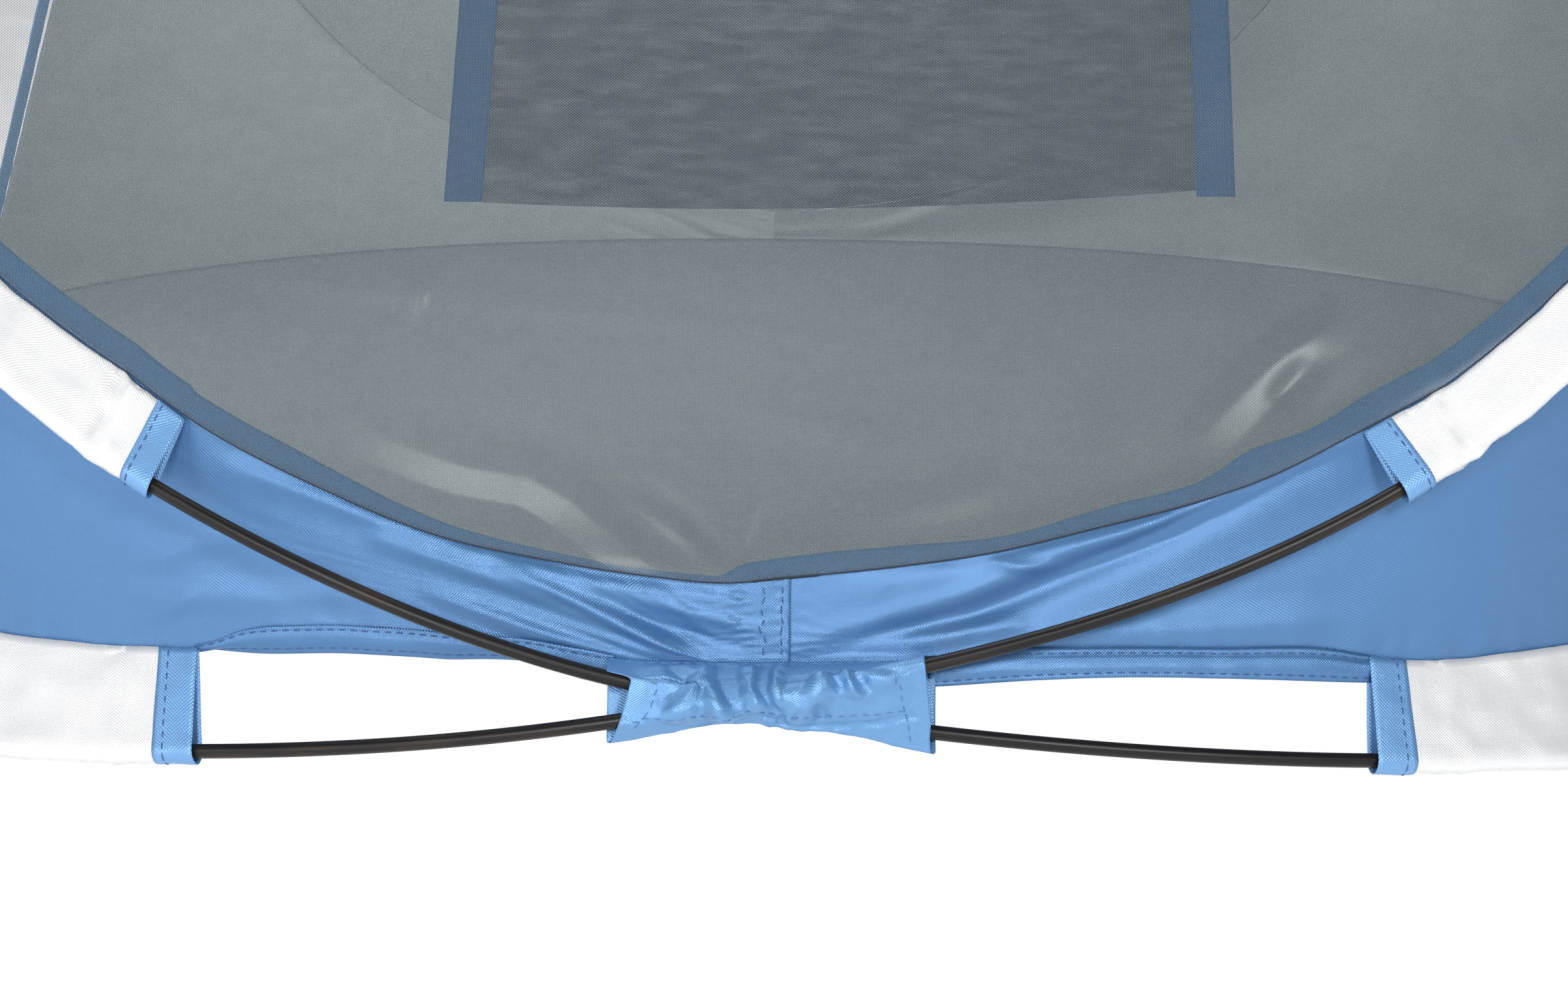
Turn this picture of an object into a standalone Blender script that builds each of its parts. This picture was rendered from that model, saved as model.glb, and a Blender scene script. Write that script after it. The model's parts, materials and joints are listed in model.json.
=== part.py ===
"""Pop-up beach shelter: two closed fibreglass hoops that cross at both ends and carry a sewn cloth body.

Metres, +Z up. The origin is on the ground under the middle of the floor. The open front faces -X.
The hoops cross at the right end (-Y) and at the left end (+Y), as seen by someone who faces the front.
Hoop a has its roof rib at the back and its floor half at the front, and hoop b the other way round.
"""

import math

import bmesh
import bpy
import numpy as np
from mathutils import Matrix, Vector

# Frame hoops
ROD_RADIUS = 0.00275
HALF_LENGTH = 0.750
FLOOR_HALF_WIDTH = 0.600
FLOOR_SQUARENESS = 2.5
CROSSING_HEIGHT = 0.044
CROSSING_SLOPE = 0.168
CROSSING_SHIFT = -0.018
CROSSING_SHIFT_REACH = 0.120
CROSSING_REACH = 0.090
GROUND_FALL = 0.220
RIB_ENTRY = (0.2225, 0.0235, 0.116)
RIB_ENTRY_WAY = (1.0, 0.288, 0.510)
RIB_BELLY_OUT = 0.031
RIB_RIDGE_OUT = 0.021
RIB_RIDGE_UP = 0.030
FERRULE_LENGTH = 0.060
FERRULE_WALL = 0.00045
FERRULE_PLACE = 0.260

# Upper seam, where the sleeve, the side wall and the roof or end panel are sewn together
SEAM_SETBACK = 0.015
SEAM_FOOT_HEIGHT = 0.0871
SEAM_FOOT_REACH = 0.174
SEAM_FOOT_RISE = 0.103
END_LEAN = math.radians(22.0)
BELLY_HALF_WIDTH = 0.403
BELLY_HEIGHT = 0.460
END_TOP_HALF_WIDTH = 0.365
END_TOP_HEIGHT = 0.660
RIDGE_HALF_WIDTH = 0.255
RIDGE_HEIGHT = 0.945
ROOF_SAG = 0.012
WALL_SAG = 0.016
WINDOW_TIP = 0.2

# Lower seam, where the sleeve, the side wall and the floor are sewn together
HEM_HEIGHT_END = 0.066
HEM_HEIGHT_SIDE = 0.036
HEM_INSET_END = 0.013
HEM_INSET_SIDE = 0.026
FLOOR_RAMP_END = 0.450
FLOOR_RAMP_SIDE = 0.140

# Cloth
CLOTH = 0.0005
FLOOR_CLOTH = 0.0008
EDGE_GAP = 0.0008
PANEL_GAP = 0.0004
CLEARANCE = 0.0003
SLEEVE_RADIUS = 0.0046
SLEEVE_ROOT = 0.00045
TAPE_START = 0.2125
TAPE_WIDTH = 0.0135
FLANGE_HEIGHT = 0.0110
FLANGE_START = 0.0680

# Wrap that ties the crossing rods to the foot of the walls
WRAP_LEFT = -0.0625
WRAP_RIGHT = 0.0545
WRAP_DEPTH = 0.0130
WRAP_FOOT_LEFT = 0.0295
WRAP_FOOT_MIDDLE = 0.0345
WRAP_FOOT_RIGHT = 0.0258
WRAP_HEAD_DROP = 0.0030
WRAP_PUCKERS = 3
WRAP_PUCKER_DEPTH = 0.0022

# Front mouth, and the flap that lies on the ground before it
MOUTH_HALF_WIDTH = 0.440
BINDING_WIDTH = 0.0120
BINDING_THICKNESS = 0.0012
BINDING_END_GAP = 0.0080
FLAP_HALF_WIDTH = 0.300
FLAP_TIP_HALF_WIDTH = 0.230
FLAP_LENGTH = 0.420
FLAP_CORNER = 0.060
FLAP_THICKNESS = 0.0012
PIPING_RADIUS = 0.0020

# Net pocket inside the net window of the right end
POCKET_LEFT = -0.124
POCKET_RIGHT = 0.169
POCKET_FOOT = 0.226
POCKET_HEIGHT = 0.195
POCKET_SAG = 0.005
POCKET_TAPE_WIDTH = 0.0145
POCKET_GAP = 0.0004

# Webbing tabs for ground pegs, each with a steel eyelet
TAB_PLACE = 0.620
TAB_LENGTH = 0.045
TAB_WIDTH = 0.020
TAB_THICKNESS = 0.0012
EYELET_PLACE = 0.034
EYELET_HOLE = 0.0040
EYELET_RADIUS = 0.0070
EYELET_THICKNESS = 0.0006

# How finely the long pieces are divided
STATION_SPACING = 0.080
OPEN_STATIONS = 5
DENSE = 240


def clear_scene():
    """Remove whatever the scene holds."""
    for obj in list(bpy.data.objects):
        bpy.data.objects.remove(obj)


def finish(name, colour, roughness, metallic=0.0):
    """A plain surface finish."""
    material = bpy.data.materials.new(name)
    material.use_nodes = True
    shader = material.node_tree.nodes["Principled BSDF"]
    shader.inputs["Base Color"].default_value = (*colour, 1.0)
    shader.inputs["Roughness"].default_value = roughness
    shader.inputs["Metallic"].default_value = metallic
    return material


def link(name, data, material):
    """Put a mesh or curve in the scene as one named piece."""
    obj = bpy.data.objects.new(name, data)
    bpy.context.scene.collection.objects.link(obj)
    data.materials.append(material)
    return obj


def bezier(p0, p1, p2, p3, count=DENSE):
    """Points along one cubic curve."""
    t = np.linspace(0.0, 1.0, count)[:, None]
    p0, p1, p2, p3 = (np.array(p, float) for p in (p0, p1, p2, p3))
    return (1 - t) ** 3 * p0 + 3 * (1 - t) ** 2 * t * p1 + 3 * (1 - t) * t**2 * p2 + t**3 * p3


def joined(curves):
    """Curves that meet end to end, as one list of points."""
    return np.vstack([curves[0]] + [c[1:] for c in curves[1:]])


def lengths(points):
    """Distance along a curve at each of its points."""
    return np.concatenate([[0.0], np.cumsum(np.linalg.norm(np.diff(points, axis=0), axis=1))])


def pick(points, places):
    """Points of a curve at these distances along it."""
    s = lengths(points)
    return np.stack([np.interp(places, s, points[:, k]) for k in range(3)], axis=1)


def unit(v):
    v = np.asarray(v, float)
    return v / np.linalg.norm(v, axis=-1, keepdims=True)


def mirrored(points, x=1, y=1):
    """The same points on another quarter of the shelter."""
    return np.asarray(points, float) * np.array([x, y, 1.0])


def end_plane_y(z):
    """Where the leaning plane of the right end's window is, at a height."""
    return -(HALF_LENGTH - SEAM_SETBACK) + (z - SEAM_FOOT_HEIGHT) * math.tan(END_LEAN)


def on_end_plane(x, z):
    return (x, end_plane_y(z), z)


# Curves of one quarter, at +X and -Y, from the right end's middle to the shelter's middle


def upper_seam_curve():
    """Seam under the roof rib: flat in the leaning end plane, then over to the ridge."""
    low = bezier(
        on_end_plane(0.0, SEAM_FOOT_HEIGHT),
        on_end_plane(SEAM_FOOT_REACH, SEAM_FOOT_HEIGHT),
        on_end_plane(BELLY_HALF_WIDTH, SEAM_FOOT_HEIGHT + SEAM_FOOT_RISE),
        on_end_plane(BELLY_HALF_WIDTH, BELLY_HEIGHT),
    )
    rise = END_TOP_HEIGHT - BELLY_HEIGHT
    high = bezier(
        on_end_plane(BELLY_HALF_WIDTH, BELLY_HEIGHT),
        on_end_plane(BELLY_HALF_WIDTH, BELLY_HEIGHT + 0.34 * rise),
        on_end_plane(END_TOP_HALF_WIDTH + 0.025, END_TOP_HEIGHT - 0.3 * rise),
        on_end_plane(END_TOP_HALF_WIDTH, END_TOP_HEIGHT),
    )
    leave = np.array([-0.417, math.tan(END_LEAN), 1.0])
    top = np.array(on_end_plane(END_TOP_HALF_WIDTH, END_TOP_HEIGHT))
    over = bezier(
        top,
        top + 0.56 * (RIDGE_HEIGHT - END_TOP_HEIGHT) * leave,
        (RIDGE_HALF_WIDTH, 0.44 * top[1], RIDGE_HEIGHT),
        (RIDGE_HALF_WIDTH, 0.0, RIDGE_HEIGHT),
    )
    return joined([low, high, over])


def rib_curves():
    """Roof rib of the hoop: the bare stretch by the crossing, then the stretch in its sleeve."""
    start = np.array([0.0, -HALF_LENGTH, CROSSING_HEIGHT])
    entry = np.array([RIB_ENTRY[0], -HALF_LENGTH + RIB_ENTRY[1], RIB_ENTRY[2]])
    entry_way = np.array(RIB_ENTRY_WAY)
    third = entry[0] / 3
    bare = bezier(
        start,
        start + third * np.array([1.0, 0.0, CROSSING_SLOPE]),
        entry - third * entry_way,
        entry,
    )
    lean = np.array([0.0, math.tan(END_LEAN), 1.0])
    belly = np.array(on_end_plane(BELLY_HALF_WIDTH, BELLY_HEIGHT))
    belly = belly + RIB_BELLY_OUT * np.array([1.0, -0.55, 0.0])
    ridge = np.array([RIDGE_HALF_WIDTH + RIB_RIDGE_OUT, 0.0, RIDGE_HEIGHT + RIB_RIDGE_UP])
    rise = ridge[2] - belly[2]
    climb = bezier(entry, entry + 0.110 * entry_way, belly - 0.160 * lean, belly)
    over = bezier(
        belly,
        belly + 0.485 * rise * lean,
        (ridge[0], 0.515 * belly[1], ridge[2]),
        ridge,
    )
    return bare, joined([climb, over])


def floor_curve():
    """Plan of the hoop's floor half, as a rounded oval, with its fall from the crossing to the ground."""
    turn = np.linspace(0.0, math.pi / 2, 6 * DENSE)
    power = 2.0 / FLOOR_SQUARENESS
    x = FLOOR_HALF_WIDTH * np.sin(turn) ** power
    y = -HALF_LENGTH * np.cos(turn) ** power
    s = lengths(np.stack([x, y, 0 * x], axis=1))
    ground = SLEEVE_RADIUS + CLOTH / 2
    last = math.exp(-s[-1] / GROUND_FALL)
    fall = (np.exp(-s / GROUND_FALL) - last) / (1 - last)
    return np.stack([x, y, ground + (CROSSING_HEIGHT - ground) * fall], axis=1)


def lower_seam_curve(floor):
    """Seam inside and above the hoop's floor half."""
    s = lengths(floor)
    share = (0.5 - 0.5 * np.cos(math.pi * s / s[-1]))[:, None]
    inset = HEM_INSET_END + (HEM_INSET_SIDE - HEM_INSET_END) * share[:, 0]
    height = HEM_HEIGHT_END + (HEM_HEIGHT_SIDE - HEM_HEIGHT_END) * share[:, 0]
    way = np.gradient(floor[:, :2], axis=0)
    way = unit(way)
    inward = np.stack([-way[:, 1], way[:, 0]], axis=1)
    plan = floor[:, :2] + inset[:, None] * inward
    plan[0, 0] = 0.0
    plan[-1, 1] = 0.0
    return np.column_stack([plan, height])


def place_of_x(curve, x):
    """Distance along a curve at which it reaches this x."""
    return float(np.interp(x, curve[:, 0], lengths(curve)))


ENDS = (("right", 1), ("left", -1))
SIDES = (("front", -1), ("back", 1))

# The quarter's curves, and the places along them that every piece shares
UPPER = upper_seam_curve()
BARE_RIB, SLEEVED_RIB = rib_curves()
FLOOR = floor_curve()
LOWER = lower_seam_curve(FLOOR)


def upper_limits():
    """Distance along the upper seam at the sleeve's end, and at the ridge."""
    low = UPPER[: DENSE]
    return place_of_x(low, TAPE_START), lengths(UPPER)[-1]


def top_place():
    """Distance along the upper seam at which the end panels stop and the roof starts."""
    return lengths(UPPER[: 2 * DENSE - 1])[-1]


def stations(total, extra):
    """Shares of a sleeved stretch at which there is a station, the ferrule's ends and these extras among them."""
    first = (FERRULE_PLACE - FERRULE_LENGTH / 2) / total
    last = (FERRULE_PLACE + FERRULE_LENGTH / 2) / total
    even = np.linspace(0.0, 1.0, max(6, round(total / STATION_SPACING)) + 1)
    fixed = [first, 0.5 * (first + last), last, *extra]
    kept = [s for s in even if min(abs(s - f) for f in fixed) > 0.4 * even[1] and not first < s < last]
    return np.array(sorted(kept + fixed + [s for s in (0.0, 1.0) if s not in kept]))


RIB_LENGTH = lengths(SLEEVED_RIB)[-1]
FLOOR_START = place_of_x(FLOOR[: 5 * DENSE], TAPE_START)
FLOOR_SLEEVED = lengths(FLOOR)[-1] - FLOOR_START
RIB_TAPE = TAPE_WIDTH / RIB_LENGTH
FLOOR_TAPE = TAPE_WIDTH / FLOOR_SLEEVED


def upper_seam_at(shares):
    start, end = upper_limits()
    return pick(UPPER, start + np.asarray(shares) * (end - start))


def rib_at(shares):
    return pick(SLEEVED_RIB, np.asarray(shares) * lengths(SLEEVED_RIB)[-1])


def lower_seam_at(shares):
    start = place_of_x(LOWER[: 5 * DENSE], TAPE_START)
    return pick(LOWER, start + np.asarray(shares) * (lengths(LOWER)[-1] - start))


def floor_rod_at(shares):
    return pick(FLOOR, FLOOR_START + np.asarray(shares) * FLOOR_SLEEVED)


def mouth_share():
    """Share of the sleeved seams at which the front wall stops and the mouth starts."""
    shares = np.linspace(0.0, 1.0, DENSE)
    return float(np.interp(-MOUTH_HALF_WIDTH, lower_seam_at(shares)[:, 1], shares))


def window_share():
    """Share of the sleeved upper seam at which the window stops and the roof starts."""
    start, end = upper_limits()
    return (top_place() - start) / (end - start)


MOUTH = mouth_share()
WINDOW = window_share()
RIB_SHARES = stations(RIB_LENGTH, [RIB_TAPE, MOUTH, WINDOW])
FLOOR_SHARES = stations(FLOOR_SLEEVED, [FLOOR_TAPE, MOUTH])


def crossing_nudge(points, front_side, shifted):
    """Move bare rod points so that the two hoops pass each other, and cross beside the middle at the right end."""
    moved = np.array(points, float)
    near = np.exp(-((moved[:, 0] / CROSSING_REACH) ** 2))
    outward = np.sign(moved[:, 1]) * (1 if front_side else -1)
    moved[:, 1] += outward * (ROD_RADIUS + CLEARANCE / 1.5) * near
    if shifted:
        moved[:, 0] += CROSSING_SHIFT * np.exp(-((moved[:, 0] / CROSSING_SHIFT_REACH) ** 2))
    return moved


# Shapes


def grid_mesh(name, rows, ring=False, cap_last=False):
    """A mesh through rows of points; ring joins each row's ends, cap_last closes the last row."""
    mesh = bmesh.new()
    verts = [[mesh.verts.new(p) for p in row] for row in rows]
    for lower, upper in zip(verts, verts[1:]):
        last = len(lower) if ring else len(lower) - 1
        for k in range(last):
            n = (k + 1) % len(lower)
            mesh.faces.new((lower[k], lower[n], upper[n], upper[k]))
    if cap_last:
        mesh.faces.new(verts[-1])
    bmesh.ops.recalc_face_normals(mesh, faces=mesh.faces)
    data = bpy.data.meshes.new(name)
    mesh.to_mesh(data)
    mesh.free()
    return data


def cloth(name, rows, material, thickness=CLOTH, ring=False, cap_last=False):
    """A sewn piece: a sheet through rows of points, given its thickness by a Solidify modifier."""
    obj = link(name, grid_mesh(name, rows, ring, cap_last), material)
    obj.data.shade_smooth()
    solid = obj.modifiers.new("thickness", "SOLIDIFY")
    solid.thickness = thickness
    solid.offset = 0.0
    return obj


def rod(name, points, radius, material):
    """A round rod or cord along a line of points, with closed ends."""
    curve = bpy.data.curves.new(name, "CURVE")
    curve.dimensions = "3D"
    curve.bevel_depth = radius
    curve.bevel_resolution = 2
    curve.use_fill_caps = True
    spline = curve.splines.new("POLY")
    spline.points.add(len(points) - 1)
    for target, p in zip(spline.points, points):
        target.co = (*p, 1.0)
    return link(name, curve, material)


def box(name, size, place, turn, material, bevel=0.0):
    """A small block with rounded edges, turned and moved to its place."""
    mesh = bmesh.new()
    bmesh.ops.create_cube(mesh, size=1.0, matrix=Matrix.Diagonal((*size, 1.0)))
    if bevel:
        bmesh.ops.bevel(mesh, geom=mesh.edges[:], offset=bevel, segments=2, affect="EDGES", profile=0.5)
    data = bpy.data.meshes.new(name)
    mesh.to_mesh(data)
    mesh.free()
    obj = link(name, data, material)
    obj.matrix_world = Matrix.Translation(Vector(place)) @ turn.to_4x4()
    return obj


def sheet_rows(first, last, steps, sag=None):
    """Rows of a sheet between two edges. sag(place, share, height) moves the points between them."""
    rows = []
    for k, (a, b) in enumerate(zip(first, last)):
        way = unit(b - a)
        start, end = a + EDGE_GAP * way, b - EDGE_GAP * way
        shares = np.linspace(0.0, 1.0, steps + 1)
        row = [start + share * (end - start) for share in shares]
        if sag:
            place = k / (len(first) - 1)
            row = [p + sag(place, share, np.linalg.norm(b - a)) for p, share in zip(row, shares)]
        rows.append(row)
    return rows


# Hoops


def hoop_lines(rib_side, shifted, outside):
    """The two halves of one crossing: out along the rib, and out along the floor on the other side."""
    y = 1 if shifted else -1
    bare_s = lengths(BARE_RIB)[-1]
    bare = pick(BARE_RIB, np.linspace(0.0, bare_s, OPEN_STATIONS + 1))
    rib = mirrored(bare, rib_side, y)
    low = pick(FLOOR, np.linspace(0.0, FLOOR_START, OPEN_STATIONS + 1))
    floor = mirrored(low, -rib_side, y)
    return crossing_nudge(rib, outside, shifted), crossing_nudge(floor, outside, shifted)


def split_at_ferrule(points, shares, total):
    """Cut a stretch at the middle of its ferrule: the part by the crossing, the ferrule, the part beyond."""
    first = (FERRULE_PLACE - FERRULE_LENGTH / 2) / total
    middle = FERRULE_PLACE / total
    last = (FERRULE_PLACE + FERRULE_LENGTH / 2) / total
    near = points[shares <= middle + 1e-9]
    beyond = points[shares >= middle - 1e-9]
    inside = points[(shares >= first - 1e-9) & (shares <= last + 1e-9)]
    way = unit(points[shares > middle + 1e-9][0] - near[-1])
    near = np.vstack([near[:-1], near[-1] - CLEARANCE * way])
    beyond = np.vstack([beyond[0] + CLEARANCE * way, beyond[1:]])
    return near, inside, beyond


def ring_rows(points, radius, sides=12):
    """Rings of points around a line, for a tube with a bore."""
    ways = unit(np.gradient(points, axis=0))
    rows = []
    across = unit(np.cross(ways[0], [0.0, 0.0, 1.0]))
    for p, way in zip(points, ways):
        across = unit(across - way * np.dot(across, way))
        up = np.cross(way, across)
        angles = np.arange(sides) * 2 * math.pi / sides
        rows.append([p + radius * (math.cos(a) * across + math.sin(a) * up) for a in angles])
    return rows


def ferrule(name, points, material):
    bore = (ROD_RADIUS + CLEARANCE / 2) / math.cos(math.pi / 12)
    cloth(name, ring_rows(points, bore + FERRULE_WALL / 2), material, FERRULE_WALL, ring=True)


def hoop(letter, rib_side, fibre, steel):
    """One closed hoop: four rods that meet in four ferrules."""
    outside = rib_side > 0
    ribs, floors = {}, {}
    for end_name, y in ENDS:
        bare_rib, bare_floor = hoop_lines(rib_side, y > 0, outside)
        rib = mirrored(rib_at(RIB_SHARES), rib_side, y)
        low = mirrored(floor_rod_at(FLOOR_SHARES), -rib_side, y)
        rib_near, rib_in, rib_far = split_at_ferrule(rib, RIB_SHARES, RIB_LENGTH)
        low_near, low_in, low_far = split_at_ferrule(low, FLOOR_SHARES, FLOOR_SLEEVED)
        line = np.vstack([rib_near[::-1], bare_rib[::-1][1:-1], bare_floor[:-1], low_near])
        rod(f"hoop_{letter}_{end_name}_rod", line, ROD_RADIUS, fibre)
        ferrule(f"hoop_{letter}_{end_name}_rib_ferrule", rib_in, steel)
        ferrule(f"hoop_{letter}_{end_name}_floor_ferrule", low_in, steel)
        ribs[end_name], floors[end_name] = rib_far, low_far
    rod(f"hoop_{letter}_roof_rod", np.vstack([ribs["right"], ribs["left"][::-1][1:]]), ROD_RADIUS, fibre)
    rod(f"hoop_{letter}_floor_rod", np.vstack([floors["right"], floors["left"][::-1][1:]]), ROD_RADIUS, fibre)


# Sleeves


def sleeve_profile(seam, core, way, root):
    """One loop of the flattened sleeve: from its root beside the seam, round the rod and back."""
    out = core - seam
    width = np.linalg.norm(out)
    out = out / width
    side = unit(np.cross(way, out))
    wrap = math.radians(100.0)
    loop = [seam + root * out + SLEEVE_ROOT * side]
    for a in np.linspace(-wrap, wrap, 7):
        loop.append(core + SLEEVE_RADIUS * (math.cos(a) * out - math.sin(a) * side))
    loop.append(seam + root * out - SLEEVE_ROOT * side)
    return loop


def root_gap(out, wall):
    """How far off the seam a sleeve starts, so that it clears a wall that leaves at this angle."""
    angle = math.acos(max(-1.0, min(1.0, float(np.dot(out, wall)))))
    room = SLEEVE_ROOT + CLOTH + CLEARANCE / 2
    return room / max(math.sin(min(angle, math.pi / 2)), 0.3)


def sleeve_rows(seams, cores, ways, walls):
    rows = []
    for seam, core, way, wall in zip(seams, cores, ways, walls):
        gap = root_gap(unit(core - seam), unit(wall))
        rows.append(sleeve_profile(seam, core, way, gap))
    return rows


def ways_at(core_at, shares):
    """Direction of the rod at these shares."""
    step = 0.002
    ahead = core_at(np.minimum(np.asarray(shares) + step, 1.0))
    return unit(ahead - core_at(np.maximum(np.asarray(shares) - step, 0.0)))


def whole_side(quarter):
    """A quarter's points and their mirror at the left end, from the right end to the left end."""
    return np.vstack([quarter, mirrored(quarter[::-1][1:], 1, -1)])


def sleeves(side_name, x, silver, blue):
    """The roof and floor sleeves of one side, each with a blue binding at both ends."""
    for kind, shares, tape, seam_at, core_at, wall_at in (
        ("roof", RIB_SHARES, RIB_TAPE, upper_seam_at, rib_at, lower_seam_at),
        ("floor", FLOOR_SHARES, FLOOR_TAPE, lower_seam_at, floor_rod_at, upper_seam_at),
    ):
        inner = np.concatenate([[tape * (1 + CLEARANCE / TAPE_WIDTH)], shares[shares > 1.01 * tape]])
        ways = mirrored(ways_at(core_at, inner), x)
        ways = np.vstack([ways, -mirrored(ways[::-1][1:], 1, -1)])
        seams = whole_side(mirrored(seam_at(inner), x))
        cores = whole_side(mirrored(core_at(inner), x))
        walls = whole_side(mirrored(wall_at(inner), x)) - seams
        cloth(f"{kind}_sleeve_{side_name}", sleeve_rows(seams, cores, ways, walls), silver, ring=True)
        ends = np.array([0.0, 0.5 * tape, tape])
        for end_name, y in ENDS:
            seams = mirrored(seam_at(ends), x, y)
            cores = mirrored(core_at(ends), x, y)
            ways = mirrored(ways_at(core_at, ends), x, y)
            walls = mirrored(wall_at(ends), x, y) - seams
            rows = sleeve_rows(seams, cores, ways, walls)
            cloth(f"{kind}_sleeve_binding_{side_name}_{end_name}", rows, blue, ring=True)


# Panels


def open_places(count=4):
    """x of the stations between the end's middle and the sleeves."""
    return np.linspace(PANEL_GAP, TAPE_START, count + 1)[:-1]


def seam_by_x(curve, xs):
    low = curve[: DENSE] if curve is UPPER else curve[: 5 * DENSE]
    return pick(curve, np.interp(xs, low[:, 0], lengths(low)))


def quarter_seams(shares):
    """Matching points of the upper and lower seam, from the end's middle to the last of these shares."""
    xs = open_places()
    upper = np.vstack([seam_by_x(UPPER, xs), upper_seam_at(shares)])
    lower = np.vstack([seam_by_x(LOWER, xs), lower_seam_at(shares)])
    return upper, lower


def back_wall(material):
    """Wall from one end to the other, drawn in a little between its seams."""
    upper, lower = quarter_seams(RIB_SHARES)

    def sag(place, share, height):
        return np.array([-4 * WALL_SAG * height * share * (1 - share), 0.0, 0.0])

    cloth("back_wall", sheet_rows(whole_side(upper), whole_side(lower), 5, sag), material)


def front_corner(name, y, material):
    """Front wall between one end and the mouth, flat along the mouth so that the zip lies straight."""
    upper, lower = quarter_seams(RIB_SHARES[RIB_SHARES <= MOUTH])
    cloth(name, sheet_rows(mirrored(upper, -1, y), mirrored(lower, -1, y), 5), material)


def across(upper, steps, sag=None):
    """Rows from the front seam to the back seam."""
    return sheet_rows(mirrored(upper, -1), upper, steps, sag)


def window_stations():
    """Points of the upper seam from the end's middle up to the roof's edge."""
    start, end = upper_limits()
    places = start + RIB_SHARES[RIB_SHARES < WINDOW] * (end - start)
    low = np.interp(open_places()[1:], UPPER[: DENSE, 0], lengths(UPPER[: DENSE]))
    return np.concatenate([[WINDOW_TIP * low[0]], low, places, [top_place() - PANEL_GAP]])


def end_panel(name, y, material):
    """Flat panel between the two ribs at one end."""
    cloth(name, across(mirrored(pick(UPPER, window_stations()), 1, y), 4), material)


def roof_panel(material):
    start, end = upper_limits()
    inner = start + RIB_SHARES[RIB_SHARES > WINDOW] * (end - start)
    quarter = pick(UPPER, np.concatenate([[top_place() + PANEL_GAP], inner]))

    def sag(place, share, height):
        return np.array([0.0, 0.0, -16 * ROOF_SAG * share * (1 - share) * place * (1 - place)])

    cloth("roof_panel", across(whole_side(quarter), 6, sag), material)


def floor_sheet(material):
    """Floor: a flat middle, and a rim that rises to the lower seam all round."""
    xs = open_places()[1:]
    quarter = np.vstack([LOWER[0], seam_by_x(LOWER, xs), lower_seam_at(FLOOR_SHARES)])
    half = np.vstack([quarter, mirrored(quarter[::-1][1:], 1, -1)])
    rim = np.vstack([half, mirrored(half[::-1][1:-1], -1, 1)])
    count = 4
    rows = []
    for k in range(count + 1):
        share = k / count
        row = []
        for p in rim:
            radius = math.hypot(p[0], p[1])
            side = (p[0] / FLOOR_HALF_WIDTH) ** 2
            ramp = FLOOR_RAMP_END + (FLOOR_RAMP_SIDE - FLOOR_RAMP_END) * min(1.0, side)
            reach = radius - EDGE_GAP - share * ramp
            height = FLOOR_CLOTH / 2 + (p[2] - EDGE_GAP - FLOOR_CLOTH / 2) * (1 - share) ** 1.15
            row.append((p[0] * reach / radius, p[1] * reach / radius, height))
        rows.append(row)
    cloth("floor_sheet", rows, material, FLOOR_CLOTH, ring=True, cap_last=True)


def flange(name, x, y, material):
    """Seam allowance that hangs under the walls between the wrap and the sleeve."""
    xs = np.linspace(FLANGE_START, TAPE_START - 0.001, 5)
    seam = seam_by_x(LOWER, xs)
    drop = EDGE_GAP / 2
    rows = [mirrored(seam - [0, 0, drop], x, y), mirrored(seam - [0, 0, drop + FLANGE_HEIGHT], x, y)]
    cloth(name, rows, material)


def crossing_wrap(name, y, mirror_x, material):
    """Cloth loop round both rods, sewn to the foot of the walls and puckered across its front."""
    seam_y = LOWER[0][1]
    seam_z = HEM_HEIGHT_END - EDGE_GAP
    face = -HALF_LENGTH - WRAP_DEPTH / 2
    back = face + WRAP_DEPTH
    head = seam_z - WRAP_HEAD_DROP
    rows = []
    for share in np.linspace(0.0, 1.0, 4 * WRAP_PUCKERS + 1):
        x = WRAP_LEFT + share * (WRAP_RIGHT - WRAP_LEFT)
        end_share = abs(x / (WRAP_LEFT if x < 0 else WRAP_RIGHT))
        end_foot = WRAP_FOOT_LEFT if x < 0 else WRAP_FOOT_RIGHT
        foot = WRAP_FOOT_MIDDLE + (end_foot - WRAP_FOOT_MIDDLE) * end_share
        pucker = WRAP_PUCKER_DEPTH * math.sin(math.pi * WRAP_PUCKERS * share) ** 2
        front = face - pucker
        loop = [
            (seam_y - 0.0006, seam_z),
            (face + 0.0012, head),
            (front, head - 0.0030),
            (front, foot + 0.0040),
            (face + 0.0040, foot),
            (back - 0.0040, foot),
            (back, foot + 0.0040),
            (back, head - 0.0030),
            (seam_y + 0.0004, seam_z - 0.0008),
        ]
        rows.append([(mirror_x * x, y * py, pz) for py, pz in loop])
    cloth(name, rows, material, ring=True)


# Mouth


def mouth_binding(name, y, material):
    """Tape along the mouth's edge of the front corner, in that wall's own plane."""
    foot = Vector(mirrored(lower_seam_at([MOUTH])[0], -1, y))
    top = Vector(mirrored(upper_seam_at([MOUTH])[0], -1, y))
    before = Vector(mirrored(lower_seam_at([MOUTH - 0.02])[0], -1, y))
    up = (top - foot).normalized()
    along = foot - before
    along = (along - along.dot(up) * up).normalized()
    turn = Matrix((along, up.cross(along), up)).transposed()
    tall = (top - foot).length - 2 * BINDING_END_GAP
    middle = foot + (EDGE_GAP / 2 + BINDING_WIDTH / 2) * along + (BINDING_END_GAP + 0.5 * tall) * up
    box(name, (BINDING_WIDTH, BINDING_THICKNESS, tall), middle, turn, material)


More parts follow.
